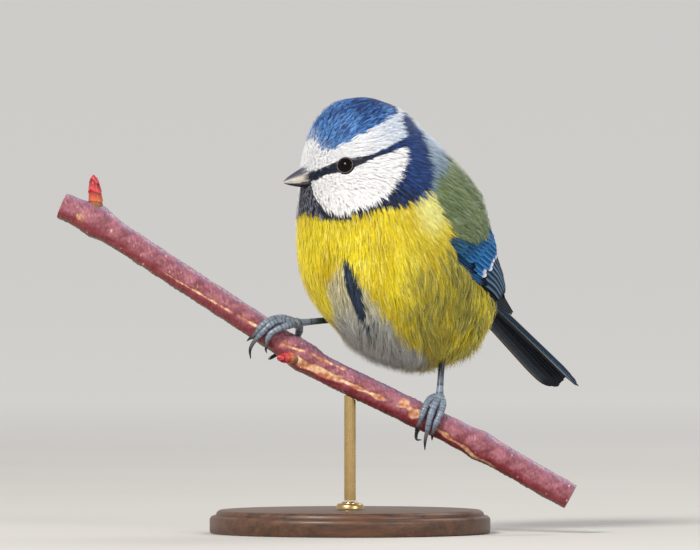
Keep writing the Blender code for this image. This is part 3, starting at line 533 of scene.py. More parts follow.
def grid_faces(rows, columns, wrap_rows=False, wrap_columns=True):
    """Two triangles for each cell of a grid of vertices, which may close on itself either way."""
    row, column = np.meshgrid(np.arange(rows - (not wrap_rows)), np.arange(columns - (not wrap_columns)),
                              indexing="ij")
    here, beside = row * columns + column, row * columns + (column + 1) % columns
    below = (row + 1) % rows * columns
    under, across = below + column, below + (column + 1) % columns
    pairs = [np.stack([here, beside, across], -1), np.stack([here, across, under], -1)]
    return np.concatenate(pairs).reshape(-1, 3)


def tube_faces(rings, sides):
    """The triangles of a tube that is closed by a fan at each end."""
    last = (rings - 1) * sides
    caps = [(0, j + 1, j) for j in range(1, sides - 1)]
    caps += [(last, last + j, last + j + 1) for j in range(1, sides - 1)]
    return np.concatenate([grid_faces(rings, sides), caps])


def side_vectors(path):
    """Two unit vectors across a path at each of its points, turning as little as they can."""
    along = unit(np.gradient(path, axis=0))
    across = np.cross(along[0], (0.0, 0.0, 1.0))
    if np.linalg.norm(across) < 0.1:
        across = np.cross(along[0], (0.0, 1.0, 0.0))
    first, second = [], []
    for step in along:
        across = unit(across - step * (across @ step))
        first.append(across)
        second.append(np.cross(step, across))
    return np.array(first), np.array(second)


def swept(path, radii, sides, colours, flatten=1.0):
    """A closed tube: vertices, triangles and colours. Radii and colours are given for each ring, and for
    each of its sides or for all of them."""
    first, second = side_vectors(path)
    turn = circle(sides)
    reach = np.broadcast_to(radii, (len(path), sides))
    rings = (path[:, None] + (reach * np.cos(turn) * flatten)[..., None] * first[:, None]
             + (reach * np.sin(turn))[..., None] * second[:, None])
    tones = np.broadcast_to(colours, (len(path), sides, 3))
    return rings.reshape(-1, 3), tube_faces(len(path), sides), tones.reshape(-1, 3)


def arrays_of(editing):
    """Vertices and faces of a closed form under edit, which ends here."""
    points = np.array([vertex.co for vertex in editing.verts])
    faces = np.array([[vertex.index for vertex in face.verts] for face in editing.faces])
    editing.free()
    return points, faces


class Nodes:
    """Short ways to add and link the nodes of one material."""

    def __init__(self, name):
        self.material = bpy.data.materials.new(name)
        self.material.use_nodes = True
        self.tree = self.material.node_tree
        self.shader = self.tree.nodes["Principled BSDF"]

    def add(self, kind, **settings):
        node = self.tree.nodes.new(kind)
        for key, value in settings.items():
            if key in node.inputs:
                node.inputs[key].default_value = value
            else:
                setattr(node, key, value)
        return node

    def link(self, out, into):
        self.tree.links.new(out, into)

    def set(self, **values):
        for key, value in values.items():
            self.shader.inputs[key.replace("_", " ")].default_value = value

    def place(self, *scale):
        """The object's own coordinates, squeezed where a scale is given."""
        where = self.add("ShaderNodeTexCoord").outputs["Object"]
        if not scale:
            return where
        squeezed = self.add("ShaderNodeMapping", Scale=scale)
        self.link(where, squeezed.inputs["Vector"])
        return squeezed.outputs["Vector"]

    def painted(self):
        return self.add("ShaderNodeAttribute", attribute_name="Plumage").outputs["Color"]

    def noise(self, scale, where, detail=3.0, roughness=0.5):
        node = self.add("ShaderNodeTexNoise", Scale=scale, Detail=detail, Roughness=roughness)
        self.link(where, node.inputs["Vector"])
        return node.outputs["Fac"]

    def between(self, value, low, high, start=0.3, stop=0.7):
        node = self.add("ShaderNodeMapRange")
        for key, number in (("From Min", start), ("From Max", stop), ("To Min", low), ("To Max", high)):
            node.inputs[key].default_value = number
        self.link(value, node.inputs["Value"])
        return node.outputs["Result"]

    def mix(self, factor, first, second, blend="MIX"):
        node = self.add("ShaderNodeMix", data_type="RGBA", blend_type=blend)
        for value, socket in ((factor, node.inputs[0]), (first, node.inputs[6]), (second, node.inputs[7])):
            if isinstance(value, bpy.types.NodeSocket):
                self.link(value, socket)
            elif isinstance(value, (int, float)):
                socket.default_value = value
            else:
                socket.default_value = (*value, 1.0)
        return node.outputs[2]

    def bump(self, height, distance, strength=1.0):
        node = self.add("ShaderNodeBump", Distance=distance, Strength=strength)
        self.link(height, node.inputs["Height"])
        self.link(node.outputs["Normal"], self.shader.inputs["Normal"])

    def colour(self, value):
        self.link(value, self.shader.inputs["Base Color"])

    def rough(self, value):
        self.link(value, self.shader.inputs["Roughness"])


def painted_material(name, roughness, spread, grain, depth, sheen, specular):
    """Takes its colour from the painted vertices, varied by noise."""
    nodes = Nodes(name)
    where = nodes.place()
    shade = nodes.between(nodes.noise(grain, where), 1 - spread, 1 + spread)
    nodes.colour(nodes.mix(1.0, nodes.painted(), shade, "MULTIPLY"))
    nodes.rough(nodes.between(nodes.noise(grain * 0.6, where), roughness - 0.08, roughness + 0.1))
    nodes.bump(nodes.noise(grain, where), depth)
    nodes.set(Specular_IOR_Level=specular, Sheen_Weight=sheen, Sheen_Roughness=0.4)
    return nodes.material


def eye_material():
    nodes = Nodes("eye_gloss")
    where = nodes.place()
    dark = nodes.between(nodes.noise(2500, where), 0.0, 0.5)
    nodes.colour(nodes.mix(dark, nodes.painted(), (0.004, 0.003, 0.003)))
    nodes.rough(nodes.between(nodes.noise(900, where), 0.04, 0.09))
    nodes.set(Specular_IOR_Level=0.1)
    return nodes.material


def wood_material():
    nodes = Nodes("dark_wood")
    where = nodes.place(1.0, 9.0, 9.0)
    grain = nodes.noise(60, where, 6.0, 0.6)
    fine = nodes.noise(260, where, 3.0, 0.6)
    tone = nodes.mix(nodes.between(grain, 0.0, 1.0), srgb(58, 36, 24), srgb(112, 72, 46))
    nodes.colour(nodes.mix(nodes.between(fine, 0.0, 0.5), tone, srgb(38, 24, 16)))
    nodes.rough(nodes.between(grain, 0.42, 0.56))
    nodes.bump(fine, 0.0001, 0.4)
    nodes.set(Coat_Weight=0.2, Coat_Roughness=0.3)
    return nodes.material


def brass_material():
    nodes = Nodes("aged_brass")
    grain = nodes.noise(350, nodes.place(), 4.0, 0.6)
    nodes.colour(nodes.mix(nodes.between(grain, 0.0, 0.6), (0.62, 0.44, 0.19), (0.40, 0.27, 0.12)))
    nodes.rough(nodes.between(grain, 0.22, 0.4))
    nodes.bump(grain, 0.00002, 0.5)
    nodes.set(Metallic=1.0)
    return nodes.material


# Markings


class Spots:
    """Points near the plumage's surface, as the markings see them: their angles from the body's and the
    head's middles, and two chances that are drawn for each."""

    def __init__(self, points, draw):
        self.points = points
        self.chance, self.other = draw.random(len(points)), draw.random(len(points))
        self.az, self.el = angles_round(points, "body")
        head_az, self.head_el = angles_round(points, "head")
        self.side, self.turn = abs(self.az), abs(head_az)
        self.lines = ripple(points * STREAK, 1.5, 21)


def coat_colour(points, draw):
    """The plumage's colour at points near its surface. draw gives each its own chances."""
    spots = Spots(points, draw)
    found = breast_colour(spots)
    for marking in (with_belly, with_back, with_head, with_cap):
        found = marking(found, spots)
    return found


# Each marking below takes the spots as s, and lays its colours over those found so far


def breast_colour(s):
    """Yellow, with a painted highlight at the shoulder, and olive streaks on the flanks."""
    found = mixed(YELLOW[0], YELLOW[1], 0.45 + 0.5 * ripple(s.points, 14, 1) + 0.25 * (s.chance - 0.5))
    # Painted highlight: a pale yellow patch at the shoulder
    shoulder = np.exp(-(((s.az - 60) / 12) ** 2) - ((s.el - 35) / 12) ** 2)
    found = mixed(found, YELLOW[2], shoulder * 1.5 - 0.45 * s.chance)
    low = ramp(s.side, 34, 55) * ramp(-s.el, -22, -4)
    streaks = low + 0.5 * ramp(s.side, 50, 70) * ramp(-s.el, -30, 0)
    olive = np.clip(streaks * (0.5 + 0.3 * ripple(s.points, 9, 2) + 0.3 * s.lines), 0, 0.9)
    found = mixed(found, OLIVE[0], olive)
    found = mixed(found, OLIVE[1], 0.8 * olive * (s.chance < 0.3 + 0.25 * s.lines))
    found = mixed(found, YELLOW[2], 0.45 * ramp(s.other, 0.7, 1.0))
    return mixed(found, YELLOW[1], 0.3 * ramp(s.lines, 0.3, 1.4))


def with_belly(found, s):
    """Adds the pale belly and its dark stripe."""
    wide = read_edge(BELLY_HALF, s.el) * (1 + 0.35 * (s.chance - 0.5))
    off = abs(s.az - read_edge(BELLY_MIDDLE, s.el))
    pale = ramp(wide - off, -2.5, 3.5) * ramp(-s.el, -9, 2) * (0.6 + 0.4 * ramp(-s.el, 5, 40))
    found = mixed(found, mixed(BELLY[0], BELLY[1], s.other * (0.8 + 0.4 * s.lines)), pale)
    off = abs(s.az - read_edge(STRIPE_MIDDLE, s.el)) - read_edge(STRIPE_HALF, s.el)
    inked = (off < 2.2 * (s.chance - 0.45)) & (s.el < 8) & (s.el > -48) & ((s.el > -32) | (s.chance > 0.5))
    return choose(found, inked, mixed(BELLY_INK[0], BELLY_INK[1], 0.7 * s.other**2))


def with_back(found, s):
    """Adds the green back, the rump and the blue-grey nape."""
    behind = s.side + 5 * (s.chance - 0.5) > read_edge(BACK_EDGE, s.el)
    back = mixed(GREEN[0], GREEN[1], 0.4 + 0.25 * ripple(s.points, 8, 3) + 0.5 * (s.chance - 0.5))
    back = mixed(back, GREEN[2], ramp(s.other, 0.66, 1.0) * 0.85)
    back = mixed(back, RUMP, ramp(-seen_from(s.points, "body")[:, 0], 22, 32))
    found = choose(found, behind, back)
    nape = (s.turn > 95) & (s.head_el > read_edge(NAPE_LOW, s.turn) + 5 * (s.chance - 0.5))
    return choose(found, nape, mixed(NAPE[0], NAPE[1], ramp(-s.head_el, -5, 22) + 0.4 * (s.other - 0.4)))


def with_head(found, s):
    """Adds the collar, bib and eye stripe, and over them the cheek and the brow."""
    dark = s.head_el > read_edge(COLLAR_LOW, s.turn)
    blue = ramp(s.turn, 70, 112) * ramp(s.head_el, -34, -20) * 0.95
    collar = mixed(NAVY[1], NAVY[0], 0.9 * blue + 1.5 * (s.other - 0.5))
    collar = mixed(collar, INK, 0.7 * ramp(-s.turn, -95, -60))
    bib_pale = (s.turn < 26) & (s.head_el < -8) & (s.chance < 0.26)
    found = choose(found, dark, choose(collar, bib_pale, BIB_PALE))
    cheek = (s.turn > CHEEK[0]) & (s.turn < CHEEK[1]) & (s.head_el > read_edge(CHEEK_LOW, s.turn))
    cheek &= s.head_el < read_edge(STRIPE_LOW, s.turn)
    found = choose(found, cheek, mixed(WHITE[0], WHITE[1], s.other))
    brow = dark & (s.head_el > read_edge(BROW_LOW, s.turn))
    return choose(found, brow, mixed(WHITE[1], WHITE[2], ramp(s.turn, 60, 120) * 0.9 * s.other + 0.1))


def with_cap(found, s):
    """Adds the cap, which fades into the forehead."""
    edge = read_edge(CAP_LOW, s.turn)
    tone = 0.14 + 0.35 * ramp(s.turn, 30, 120) + 0.36 * ramp(s.head_el, 40, 72)
    tone = np.clip(tone + 1.3 * (s.other - 0.42) + 0.12 * ripple(s.points, 5, 4), 0, 1)
    blue = mixed(mixed(CAP[0], CAP[1], tone * 2), CAP[2], tone * 2 - 1)
    pale = ramp(-s.turn, -45, -5) * ramp(s.chance, 0.3, 0.9) * ramp(edge - s.head_el, -16, -2)
    return choose(found, s.head_el + 3 * (s.chance - 0.5) > edge, mixed(blue, WHITE[1], pale))


# Skin


def skin_depth(points):
    on_head, on_body = SKIN_DEPTH
    return on_head + (on_body - on_head) * ramp(from_head(points), 15, 25)


def skin_arrays():
    """Vertices on the plumage's outline and triangles of one closed shape round head, neck and torso."""
    editing = bmesh.new()
    for frame_name, centre, radii, pitch, _ in BLOBS.values():
        axes = pitched(FRAMES[frame_name][1], pitch)
        found = bmesh.ops.create_icosphere(editing, subdivisions=4, radius=1.0)
        for vertex in found["verts"]:
            vertex.co = Vector(place(centre, frame_name) + (np.array(vertex.co) * radii) @ axes)
    mesh = bpy.data.meshes.new("blobs")
    editing.to_mesh(mesh)
    editing.free()
    made = bpy.data.objects.new("blobs", mesh)
    bpy.context.scene.collection.objects.link(made)
    remesh = made.modifiers.new("remesh", "REMESH")
    remesh.mode = "VOXEL"
    remesh.voxel_size = SKIN_VOXEL
    result = made.evaluated_get(bpy.context.evaluated_depsgraph_get()).to_mesh()
    result.calc_loop_triangles()
    vertices = np.empty(3 * len(result.vertices), np.float32)
    result.vertices.foreach_get("co", vertices)
    triangles = np.empty(3 * len(result.loop_triangles), np.int32)
    result.loop_triangles.foreach_get("vertices", triangles)
    bpy.data.objects.remove(made, do_unlink=True)
    bpy.data.meshes.remove(mesh)
    return laid_on(vertices.reshape(-1, 3).astype(float), 0.0, 6), triangles.reshape(-1, 3)


def make_skin(surface, triangles, finish):
    made = triangle_mesh("skin", laid_on(surface, -skin_depth(surface)), triangles, finish)
    # The skin takes the coat's colour a little darker: painted shade under the feathers, where gaps between
    # them show it.
    paint(made, coat_colour(surface, np.random.default_rng(3)) * 0.92)
    return settle(made, "breast_yellow", "head", "neck", "torso")


# Coat


def eye_centres():
    """The centres of the eyes' solids, left and right, and the ways that they look."""
    boxes = [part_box(name) for name in ("eye_left", "eye_right")]
    centres = np.array([np.array((low + high) / 2) / MM for low, high in boxes])
    return centres, plumage(centres)[1]


def feather_length(points):
    """The length of a body feather that is rooted here."""
    bill = np.linalg.norm(points - place(BILL_ROOT, "head"), axis=-1)
    eye = np.min([np.linalg.norm(points - centre, axis=-1) for centre in eye_centres()[0]], axis=0)
    on_head = np.interp(bill, [2, 6, 13, 22, 30], [0.9, 1.4, 2.2, 3.4, 4.8])
    on_head = np.minimum(on_head, np.interp(eye, [2.5, 5, 9], [0.9, 1.5, 5.0]))
    return on_head + (BARB_LENGTHS[-1] - on_head) * ramp(from_head(points), 17, 30)


def coat_flow(points, normals):
    """The way that feathers lie: back from the bill on the head, and down and back on the body."""
    body_front = BODY_AXES[0]
    fall = np.array([0.0, 0.0, -1.0])
    local = seen_from(points, "body")
    az, el = angles_round(points, "body")
    over = ramp(local[:, 2], -2, 16) * ramp(abs(az), 25, 80)
    backward = np.clip(over + ramp(-local[:, 0], 6, 24), 0, 1)[:, None]
    trail = 0.1 + 0.32 * ramp(abs(az), 12, 42) - 0.5 * ramp(abs(az), 58, 96)
    down = fall - trail[:, None] * body_front
    flow = down * (1 - backward) + (-body_front + 0.55 * fall) * backward
    on_body = ramp(from_head(points), 16, 26)[:, None]
    flow = unit(unit(points - place(BILL_ROOT, "head")) * (1 - on_body) + flow * on_body)
    flow = unit(flow - normals * np.sum(flow * normals, axis=-1, keepdims=True))
    swirl = 0.05 + 0.2 * on_body[:, 0] * ramp(-el, -30, 10)
    turn = (swirl * ripple(points, 13, 7) + 0.4 * swirl * ripple(points, 5, 8))[:, None]
    return unit(flow + np.cross(normals, flow) * turn)


def sparseness(points):
    """How much further apart, and broader, tufts are than in front: more on the back and the rump."""
    az, _ = angles_round(points, "body")
    return 1 + 0.48 * ramp(abs(az), 88, 120) * ramp(from_head(points), 15, 22)


def winding(points):
    """The place of each point along a curve that winds through their box."""
    cells = ((points - points.min(axis=0)) / 0.4).astype(np.int64)
    code = np.zeros(len(points), np.int64)
    for bit in range(9):
        for axis in range(3):
            code |= ((cells[:, axis] >> bit) & 1) << (3 * bit + axis)
    return code


def scatter(surface, triangles, draw):
    """Roots of tufts spread evenly over the surface, closer where they are short."""
    corners = surface[triangles]
    middles = corners.mean(axis=1)
    first_side, second_side = corners[:, 1] - corners[:, 0], corners[:, 2] - corners[:, 0]
    area = np.linalg.norm(np.cross(first_side, second_side), axis=1) / 2
    order = np.argsort(winding(middles))
    apart = np.interp(feather_length(middles), BARB_LENGTHS, TUFT_APART) * sparseness(middles)
    steps = np.cumsum((area / apart**2)[order])
    count = int(steps[-1])
    chosen = order[np.searchsorted(steps, np.arange(count) + draw.random(count))]
    first, second = draw.random((2, count))
    flip = first + second > 1
    first, second = np.where(flip, 1 - first, first), np.where(flip, 1 - second, second)
    return corners[chosen, 0] + first[:, None] * first_side[chosen] + second[:, None] * second_side[chosen]


def over_wings(points):
    """1 where the coat's feathers lie over a wing, fading to 0 round it."""
    ahead, left, up = seen_from(points, "body").T
    off = np.hypot((ahead + 4.0) / 15.0, (up - 9.0) / 9.0)
    return ramp(-off, -1.2, -0.7) * (abs(left) > 8)


def make_strands(points, draw):
    """The barbs of the tufts rooted at these points: arrays of one row for each barb."""
    length = feather_length(points) * draw.uniform(0.85, 1.15, len(points))
    _, normal = plumage(points)
    flow = coat_flow(points, normal)
    flow = unit(flow + np.cross(normal, flow) * draw.normal(0, TUFT_TURN, len(points))[:, None])
    lift = 0.012 * length * draw.normal(size=len(points)) + 0.022 * length * ripple(points, 7, 11)
    barbs = np.round(np.interp(length, BARB_LENGTHS, BARBS)).astype(int)
    tuft = np.repeat(np.arange(len(points)), barbs)
    count = len(tuft)
    root, flow, normal, length, lift = points[tuft], flow[tuft], normal[tuft], length[tuft], lift[tuft]
    across = np.cross(normal, flow)
    aside = draw.uniform(-1, 1, count) * np.interp(length, BARB_LENGTHS, TUFT_HALVES)
    reach = 0.62 + 0.38 * draw.random(count) ** 0.8
    wander = draw.normal(0, 0.012, (2, count)) * length
    start = 0.25 * draw.random(count)

    def in_tuft(share, sideways):
        return root + flow * (share * length)[:, None] + across * sideways[:, None]

    tip = in_tuft(reach, 0.6 * aside + wander[0])
    middle = in_tuft(start + (reach - start) * 0.5, aside + wander[1])
    base = in_tuft(start, 0.5 * aside)
    rise = np.clip(0.04 + lift + 0.012 * length * draw.uniform(-1, 1, count), -0.4, 0.3)
    stray = (draw.random(count) < STRAY_SHARE) * draw.uniform(0.2, 0.7, count) * np.minimum(1, length / 3)
    rise = np.minimum(rise + stray, 1.0 - 1.2 * ramp(normal[:, 2], 0.72, 0.94))
    rise = rise + 0.5 * over_wings(root)
    _, el = angles_round(root, "body")
    fluff = 2.8 * ramp(-el, 22, 44) * draw.random(count) ** 3
    broad = draw.uniform(0.75, 1.25, count) * sparseness(root)
    return {
        "root": laid_on(base, -0.9 * skin_depth(root)),
        "middle": laid_on(middle, rise + 0.2 * fluff - 0.02 * length - 0.03),
        "tip": laid_on(tip, rise + 1.1 * fluff),
        "normal": normal,
        "tuft": tuft,
        "seen": root + flow * (SEEN_AT * length)[:, None],
        "width": np.interp(length, BARB_LENGTHS, BARB_WIDTHS) * broad,
    }


def make_bristles(draw):
    """Short barbs that lie forward over the root of the bill, all round it."""
    turn = draw.uniform(0, 2 * math.pi, BRISTLES)
    still = np.zeros(BRISTLES)
    stations, top, _, low, half = np.array(BILL).T
    points = []
    for nearest, farthest, wide in ((14.4, 15.4, 1.16), (15.9, 16.7, 1.13), (17.2, 18.9, 1.08)):
        reach = draw.uniform(nearest, farthest, BRISTLES)
        over, under, beside = (np.interp(reach, stations, row) for row in (top, low, half))
        rise = (over + under) / 2 + wide * (over - under) / 2 * np.sin(turn)
        points.append(place(np.stack([reach, wide * beside * np.cos(turn), rise], axis=1), "head"))
    around = np.stack([still, np.cos(turn), np.sin(turn)], axis=1)
    base = np.stack([still + 14.0, 3.2 * np.cos(turn), -1.0 + 4.2 * np.sin(turn)], axis=1)
    shown = coat_colour(place(base, "head"), draw)
    width = draw.uniform(0.07, 0.11, BRISTLES)
    return {
        "root": points[0], "middle": points[1], "tip": points[2], "normal": unit(around @ HEAD_AXES),
        "width": width, "colour": mixed(shown, BRISTLE, 0.6 * draw.random(BRISTLES)),
    }


def kept(strands, keep):
    return {key: value[keep] for key, value in strands.items()}


def clear_of_parts(strands):
    """Leaves out barbs that would cover an eye, the bill or a wing."""
    keep = np.ones(len(strands["tip"]), bool)
    for centre, look in zip(*eye_centres()):
        for key, reach in EYE_CLEAR.items():
            off = strands[key] - centre
            along = off @ look
            keep &= (np.linalg.norm(off - along[:, None] * look, axis=1) > reach) | (along < 0)
    start, half, top, low = BILL_CLEAR
    for key in ("middle", "tip"):
        ahead, left, up = seen_from(strands[key], "head").T
        keep &= (ahead < start) | (abs(left) > half) | (up > top) | (up < low)
    wings = Wings()
    keep &= ~(wings.lies_bare(strands["tip"], 0.05) | wings.lies_bare(strands["middle"], 0.0))
    return kept(strands, keep)


class Wings:
    """Where the folded wings lie on the plumage, and where the coat lies over them."""

    def __init__(self):
        shares = np.meshgrid(*(np.linspace(0.0, 1.0, count) for count in WING_GRID), indexing="ij")
        self.along, self.across = (grid.ravel() for grid in shares)
        self.sides = []
        for side in (1, -1):
            points = wing_point(self.along, self.across, np.full(self.along.shape, 1.5), side)[0]
            tree = kdtree.KDTree(len(points))
            for index, point in enumerate(points):
                tree.insert(point, index)
            tree.balance()
            self.sides.append((tree, points.min(axis=0) - 2, points.max(axis=0) + 2))

    def shares(self, points):
        """Shares along and across the wing under each point, and -1 where none is near."""
        found = np.full((len(points), 2), -1.0)
        for tree, low, high in self.sides:
            for index in np.flatnonzero(((points > low) & (points < high)).all(axis=1)):
                _, nearest, gap = tree.find(points[index])
                if gap < WING_NEAR:
                    found[index] = self.along[nearest], self.across[nearest]
        return found

    def lies_bare(self, points, inset):
        """Whether points are over the part of a wing that no body feathers cover."""
        along, across = self.shares(points).T
        shown = (along > WING_SHOWN[0]) & (along < WING_SHOWN[1])
        low, top = read_edge(WING_BARE_LOW, along), read_edge(WING_BARE_TOP, along)
        return shown & (across > low + inset) & (across < top - inset)


def unwrapped(points):
    """A flat layout of points round the bird's head or body, whichever they lie round: directions from
    its middle, turned to face them, with areas kept."""
    centre = FRAMES["head" if from_head(points).mean() < 19 else "body"][0]
    facing = unit((points - centre).mean(axis=0))
    beside = unit(np.cross((0.0, 0.0, 1.0), facing)) if abs(facing[2]) < 0.98 else np.array([1.0, 0.0, 0.0])
    ahead, left, up = unit((points - centre) @ np.array([facing, beside, np.cross(facing, beside)]).T).T
    away = np.sqrt((1 - ahead) / 2)
    turn = np.arctan2(up, left)
    flat = np.stack([away * np.cos(turn), away * np.sin(turn)], axis=1)
    return 0.5 + 0.48 * flat / abs(flat).max()


def coat_piece(name, strands, finish, slot_name):
    """One mesh of closed strands: a point at the root, three round the middle and a point at the tip."""
    root, middle, tip = strands["root"], strands["middle"], strands["tip"]
    normal, width = strands["normal"], strands["width"][:, None]
    across = unit(np.cross(tip - root, normal))
    ring = [middle - across * width / 2, middle + normal * width * BLADE_RIDGE, middle + across * width / 2]
    vertices = np.stack([root, *ring, tip], axis=1)
    pattern = np.array([(1, 2, 4), (2, 3, 4), (3, 1, 4), (2, 1, 0), (3, 2, 0), (1, 3, 0)])
    triangles = (pattern[None] + 5 * np.arange(len(root))[:, None, None]).reshape(-1, 3)
    made = triangle_mesh(name, vertices.reshape(-1, 3), triangles, finish)
    pale = np.sqrt(strands["colour"].mean(axis=1))[:, None]
    # Root to tip, over each barb's colour: the root is darker, partly for the grey down at a feather's base
    # and partly as painted shade deep in the coat. The two sides of the middle get painted shade under the
    # ridge, and the tip a little painted highlight. Pale colours get less of it.
    down_and_painted_shade = 1 - np.array([0.42, 0.12, 0.0, 0.12, -0.04]) * (1 - 0.75 * pale)
    colours = strands["colour"][:, None, :] * down_and_painted_shade[..., None]
    paint(made, np.clip(colours, 0, 1).reshape(-1, 3))
    lean = (0.72 - 0.36 * pale**2) * across
    soft = np.stack([normal, unit(normal - lean), normal, unit(normal + lean), normal], axis=1)
    made.data.normals_split_custom_set_from_vertices(soft.reshape(-1, 3).astype(np.float32))
    patch = PATCH * np.array([(0, -0.5), (-0.3, 0), (0, 0.1), (0.3, 0), (0, 0.5)])
    corners = (unwrapped(root)[:, None, :] + patch[None]).reshape(-1, 2)[triangles.ravel()]
    layer = made.data.uv_layers.new(name="OFBake")
    layer.data.foreach_set("uv", corners.astype(np.float32).ravel())
    return settle(made, slot_name)


def coat_regions(points):
    """A name for the part of the coat that each point is in."""
    az, el = angles_round(points, "body")
    head_az, head_el = angles_round(points, "head")
    above = (abs(az) > read_edge(BACK_EDGE, el) - 4) & (el > 5)
    on_head = head_el > read_edge(COLLAR_LOW, abs(head_az)) - 2
    near = np.linalg.norm(points - place(BILL_ROOT, "head"), axis=1) < 12
    regions = {
        "breast_right": az < 12,
        "flank_left": az > 45,
        "flank_right": az < -60,
        "belly": el < -32,
        "rump_right": abs(az) > 108,
        "rump_left": az > 108,
        "back_left": above & (az >= 0),
        "back_right": above & (az < 0),
        "head_left": on_head & (head_az >= 0),
        "head_right": on_head & (head_az < 0),
        "face": on_head & near,
        "crown": on_head & (head_el > 24) & ~near,
    }
    region = np.full(len(points), "breast_left", dtype=object)
    for name, where in regions.items():
        region[where] = name
    return region


def make_coat(surface, triangles, finish):
    draw = np.random.default_rng(17)
    roots = scatter(surface, triangles, draw)
    strands = make_strands(roots, draw)
    tuft = strands["tuft"]
    tone = coat_colour(strands["seen"][np.flatnonzero(np.diff(tuft, prepend=-1))], draw)
    vary = 0.24 - 0.21 * np.sqrt(tone.mean(axis=1))
    tone = tone * (1 + vary * draw.normal(size=len(roots)))[:, None]
    strand_tone = 1 + 0.6 * vary[tuft] * draw.normal(size=len(tuft))
    strands["colour"] = np.clip(tone[tuft] * strand_tone[:, None], 0.0, 0.98)
    strands = clear_of_parts(strands)
    bristles = make_bristles(draw)
    strands = {key: np.concatenate([strands[key], bristles[key]]) for key in bristles}
    region = coat_regions(strands["middle"])
    slots = {"head": "face_white", "face": "face_white", "crown": "collar_blue"}
    for name in sorted(set(region)):
        slot_name = slots.get(name.split("_")[0], "breast_yellow")
        coat_piece("coat_" + name, kept(strands, region == name), finish, slot_name)


# Wings and tail


def wing_point(along, across, height, side):
    """A point of the folded wing: shares of its length and of the way from its lower to its upper edge,
    and a height over the wing's underside. Also the way out of the wing there."""

    def sheet(x, y):
        low, high = on_curve(WING_LOW, x), on_curve(WING_HIGH, x)
        return low + (high - low) * y[..., None]

    step = 0.02
    at = sheet(along, across)
    back = sheet(along + step, across) - sheet(along - step, across)
    up = sheet(along, across + step) - sheet(along, across - step)
    normal = unit(np.cross(up, back))
    normal = normal * np.sign(normal[..., 1:2])
    mirror = np.array([1.0, side, 1.0])
    at, normal = place(at * mirror, "body"), (normal * mirror) @ BODY_AXES
    sink = WING_SINK[0] + (WING_SINK[1] - WING_SINK[0]) * ramp(along, *WING_RISE)
    lying = laid_on(at, height - sink)
    free = moved_out(at + normal * height[..., None], height + WING_CLEAR)
    share = ramp(along, *WING_FREE)[..., None]
    return lying + (free - lying) * share, unit(plumage(lying)[1] * (1 - share) + normal * share)


def feather_shape(point):
    """Half width along a feather that narrows from that share on to a rounded tip."""
    body = np.minimum(1.0, 0.6 + 1.6 * ALONG)
    tip = np.sqrt(np.clip(1 - (np.clip((ALONG - point) / (1 - point), 0, 1)) ** 2, 0.0, 1))
    return np.maximum(body * tip, 0.04)


def vane(grid, normals, colours, under_shade=1.0):
    """A closed feather over a grid of points, rows from root to tip and columns across it."""
    rows, columns = grid.shape[:2]
    count = rows * columns
    vertices = np.concatenate([grid.reshape(-1, 3), (grid - normals * VANE_THICKNESS).reshape(-1, 3)])
    corner = np.arange(count).reshape(rows, columns)
    here = np.concatenate([corner[0], corner[1:, -1], corner[-1, -2::-1], corner[-2:0:-1, 0]])
    there = np.roll(here, -1)
    rim = [np.stack([here, there, there + count], -1), np.stack([here, there + count, here + count], -1)]
    side = grid_faces(rows, columns, wrap_columns=False)
    triangles = np.concatenate([side[:, ::-1], side + count, *rim])
    tones = colours.reshape(-1, 3)
    return vertices, triangles, np.concatenate([tones, tones * under_shade])


def vane_colours(tones, point):
    """Colours over a feather: a pale outer edge, the outer web, a dark shaft, the inner web and the tip."""
    edge, outer, inner, tip = tones
    colours = np.empty((len(ALONG), len(ACROSS), 3))
    colours[:] = outer
    # Painted shadow: a dark line along the outer margin, for the gap where the feather lies over the one
    # below
    colours[:, 0] = edge * 0.3
    colours[:, 1] = edge
    colours[:, SHAFT] = outer * 0.4
    colours[:, ACROSS > 0.2] = inner
    near_tip = ramp(ALONG, point, point + 0.6 * (1 - point))[:, None, None]
    return colours * (1 - near_tip) + tip * near_tip


def wing_feather(root, tip, half_width, height, side, point, tones):
    x, y = root[:, None] + (tip - root)[:, None] * ALONG
    depth = np.linalg.norm(on_curve(WING_HIGH, x) - on_curve(WING_LOW, x), axis=-1)
    half = half_width * feather_shape(point) / depth
    along = np.broadcast_to(x[:, None], (len(x), len(ACROSS)))
    across = y[:, None] + half[:, None] * ACROSS
    rise = height - VANE_TILT * ACROSS + 0.1 * (1 - ACROSS**2) + 0.07 * SHAFT
    points, normals = wing_point(along, across, np.broadcast_to(rise, across.shape), side)
    return vane(points, normals, vane_colours(tones, point))


def make_wing(name, side, finish):
    draw = np.random.default_rng(31)
    parts = []
    for count, roots, tips, half_width, heights, point, tones in TIERS:
        for share in np.linspace(0, 1, count):
            root, tip, height = (np.array(first) + (np.array(last) - np.array(first)) * share
                                 for first, last in (roots, tips, heights))
            tip = tip + draw.normal(0, 0.009, 2)
            tint = 1 + 0.13 * draw.normal()
            shaded = [np.clip(tone * tint, 0, 1) for tone in tones]
            parts.append(wing_feather(root, tip, half_width, height, side, point, shaded))
    return settle(joined(name + "_feathers", parts, finish), "wing_blue", name)


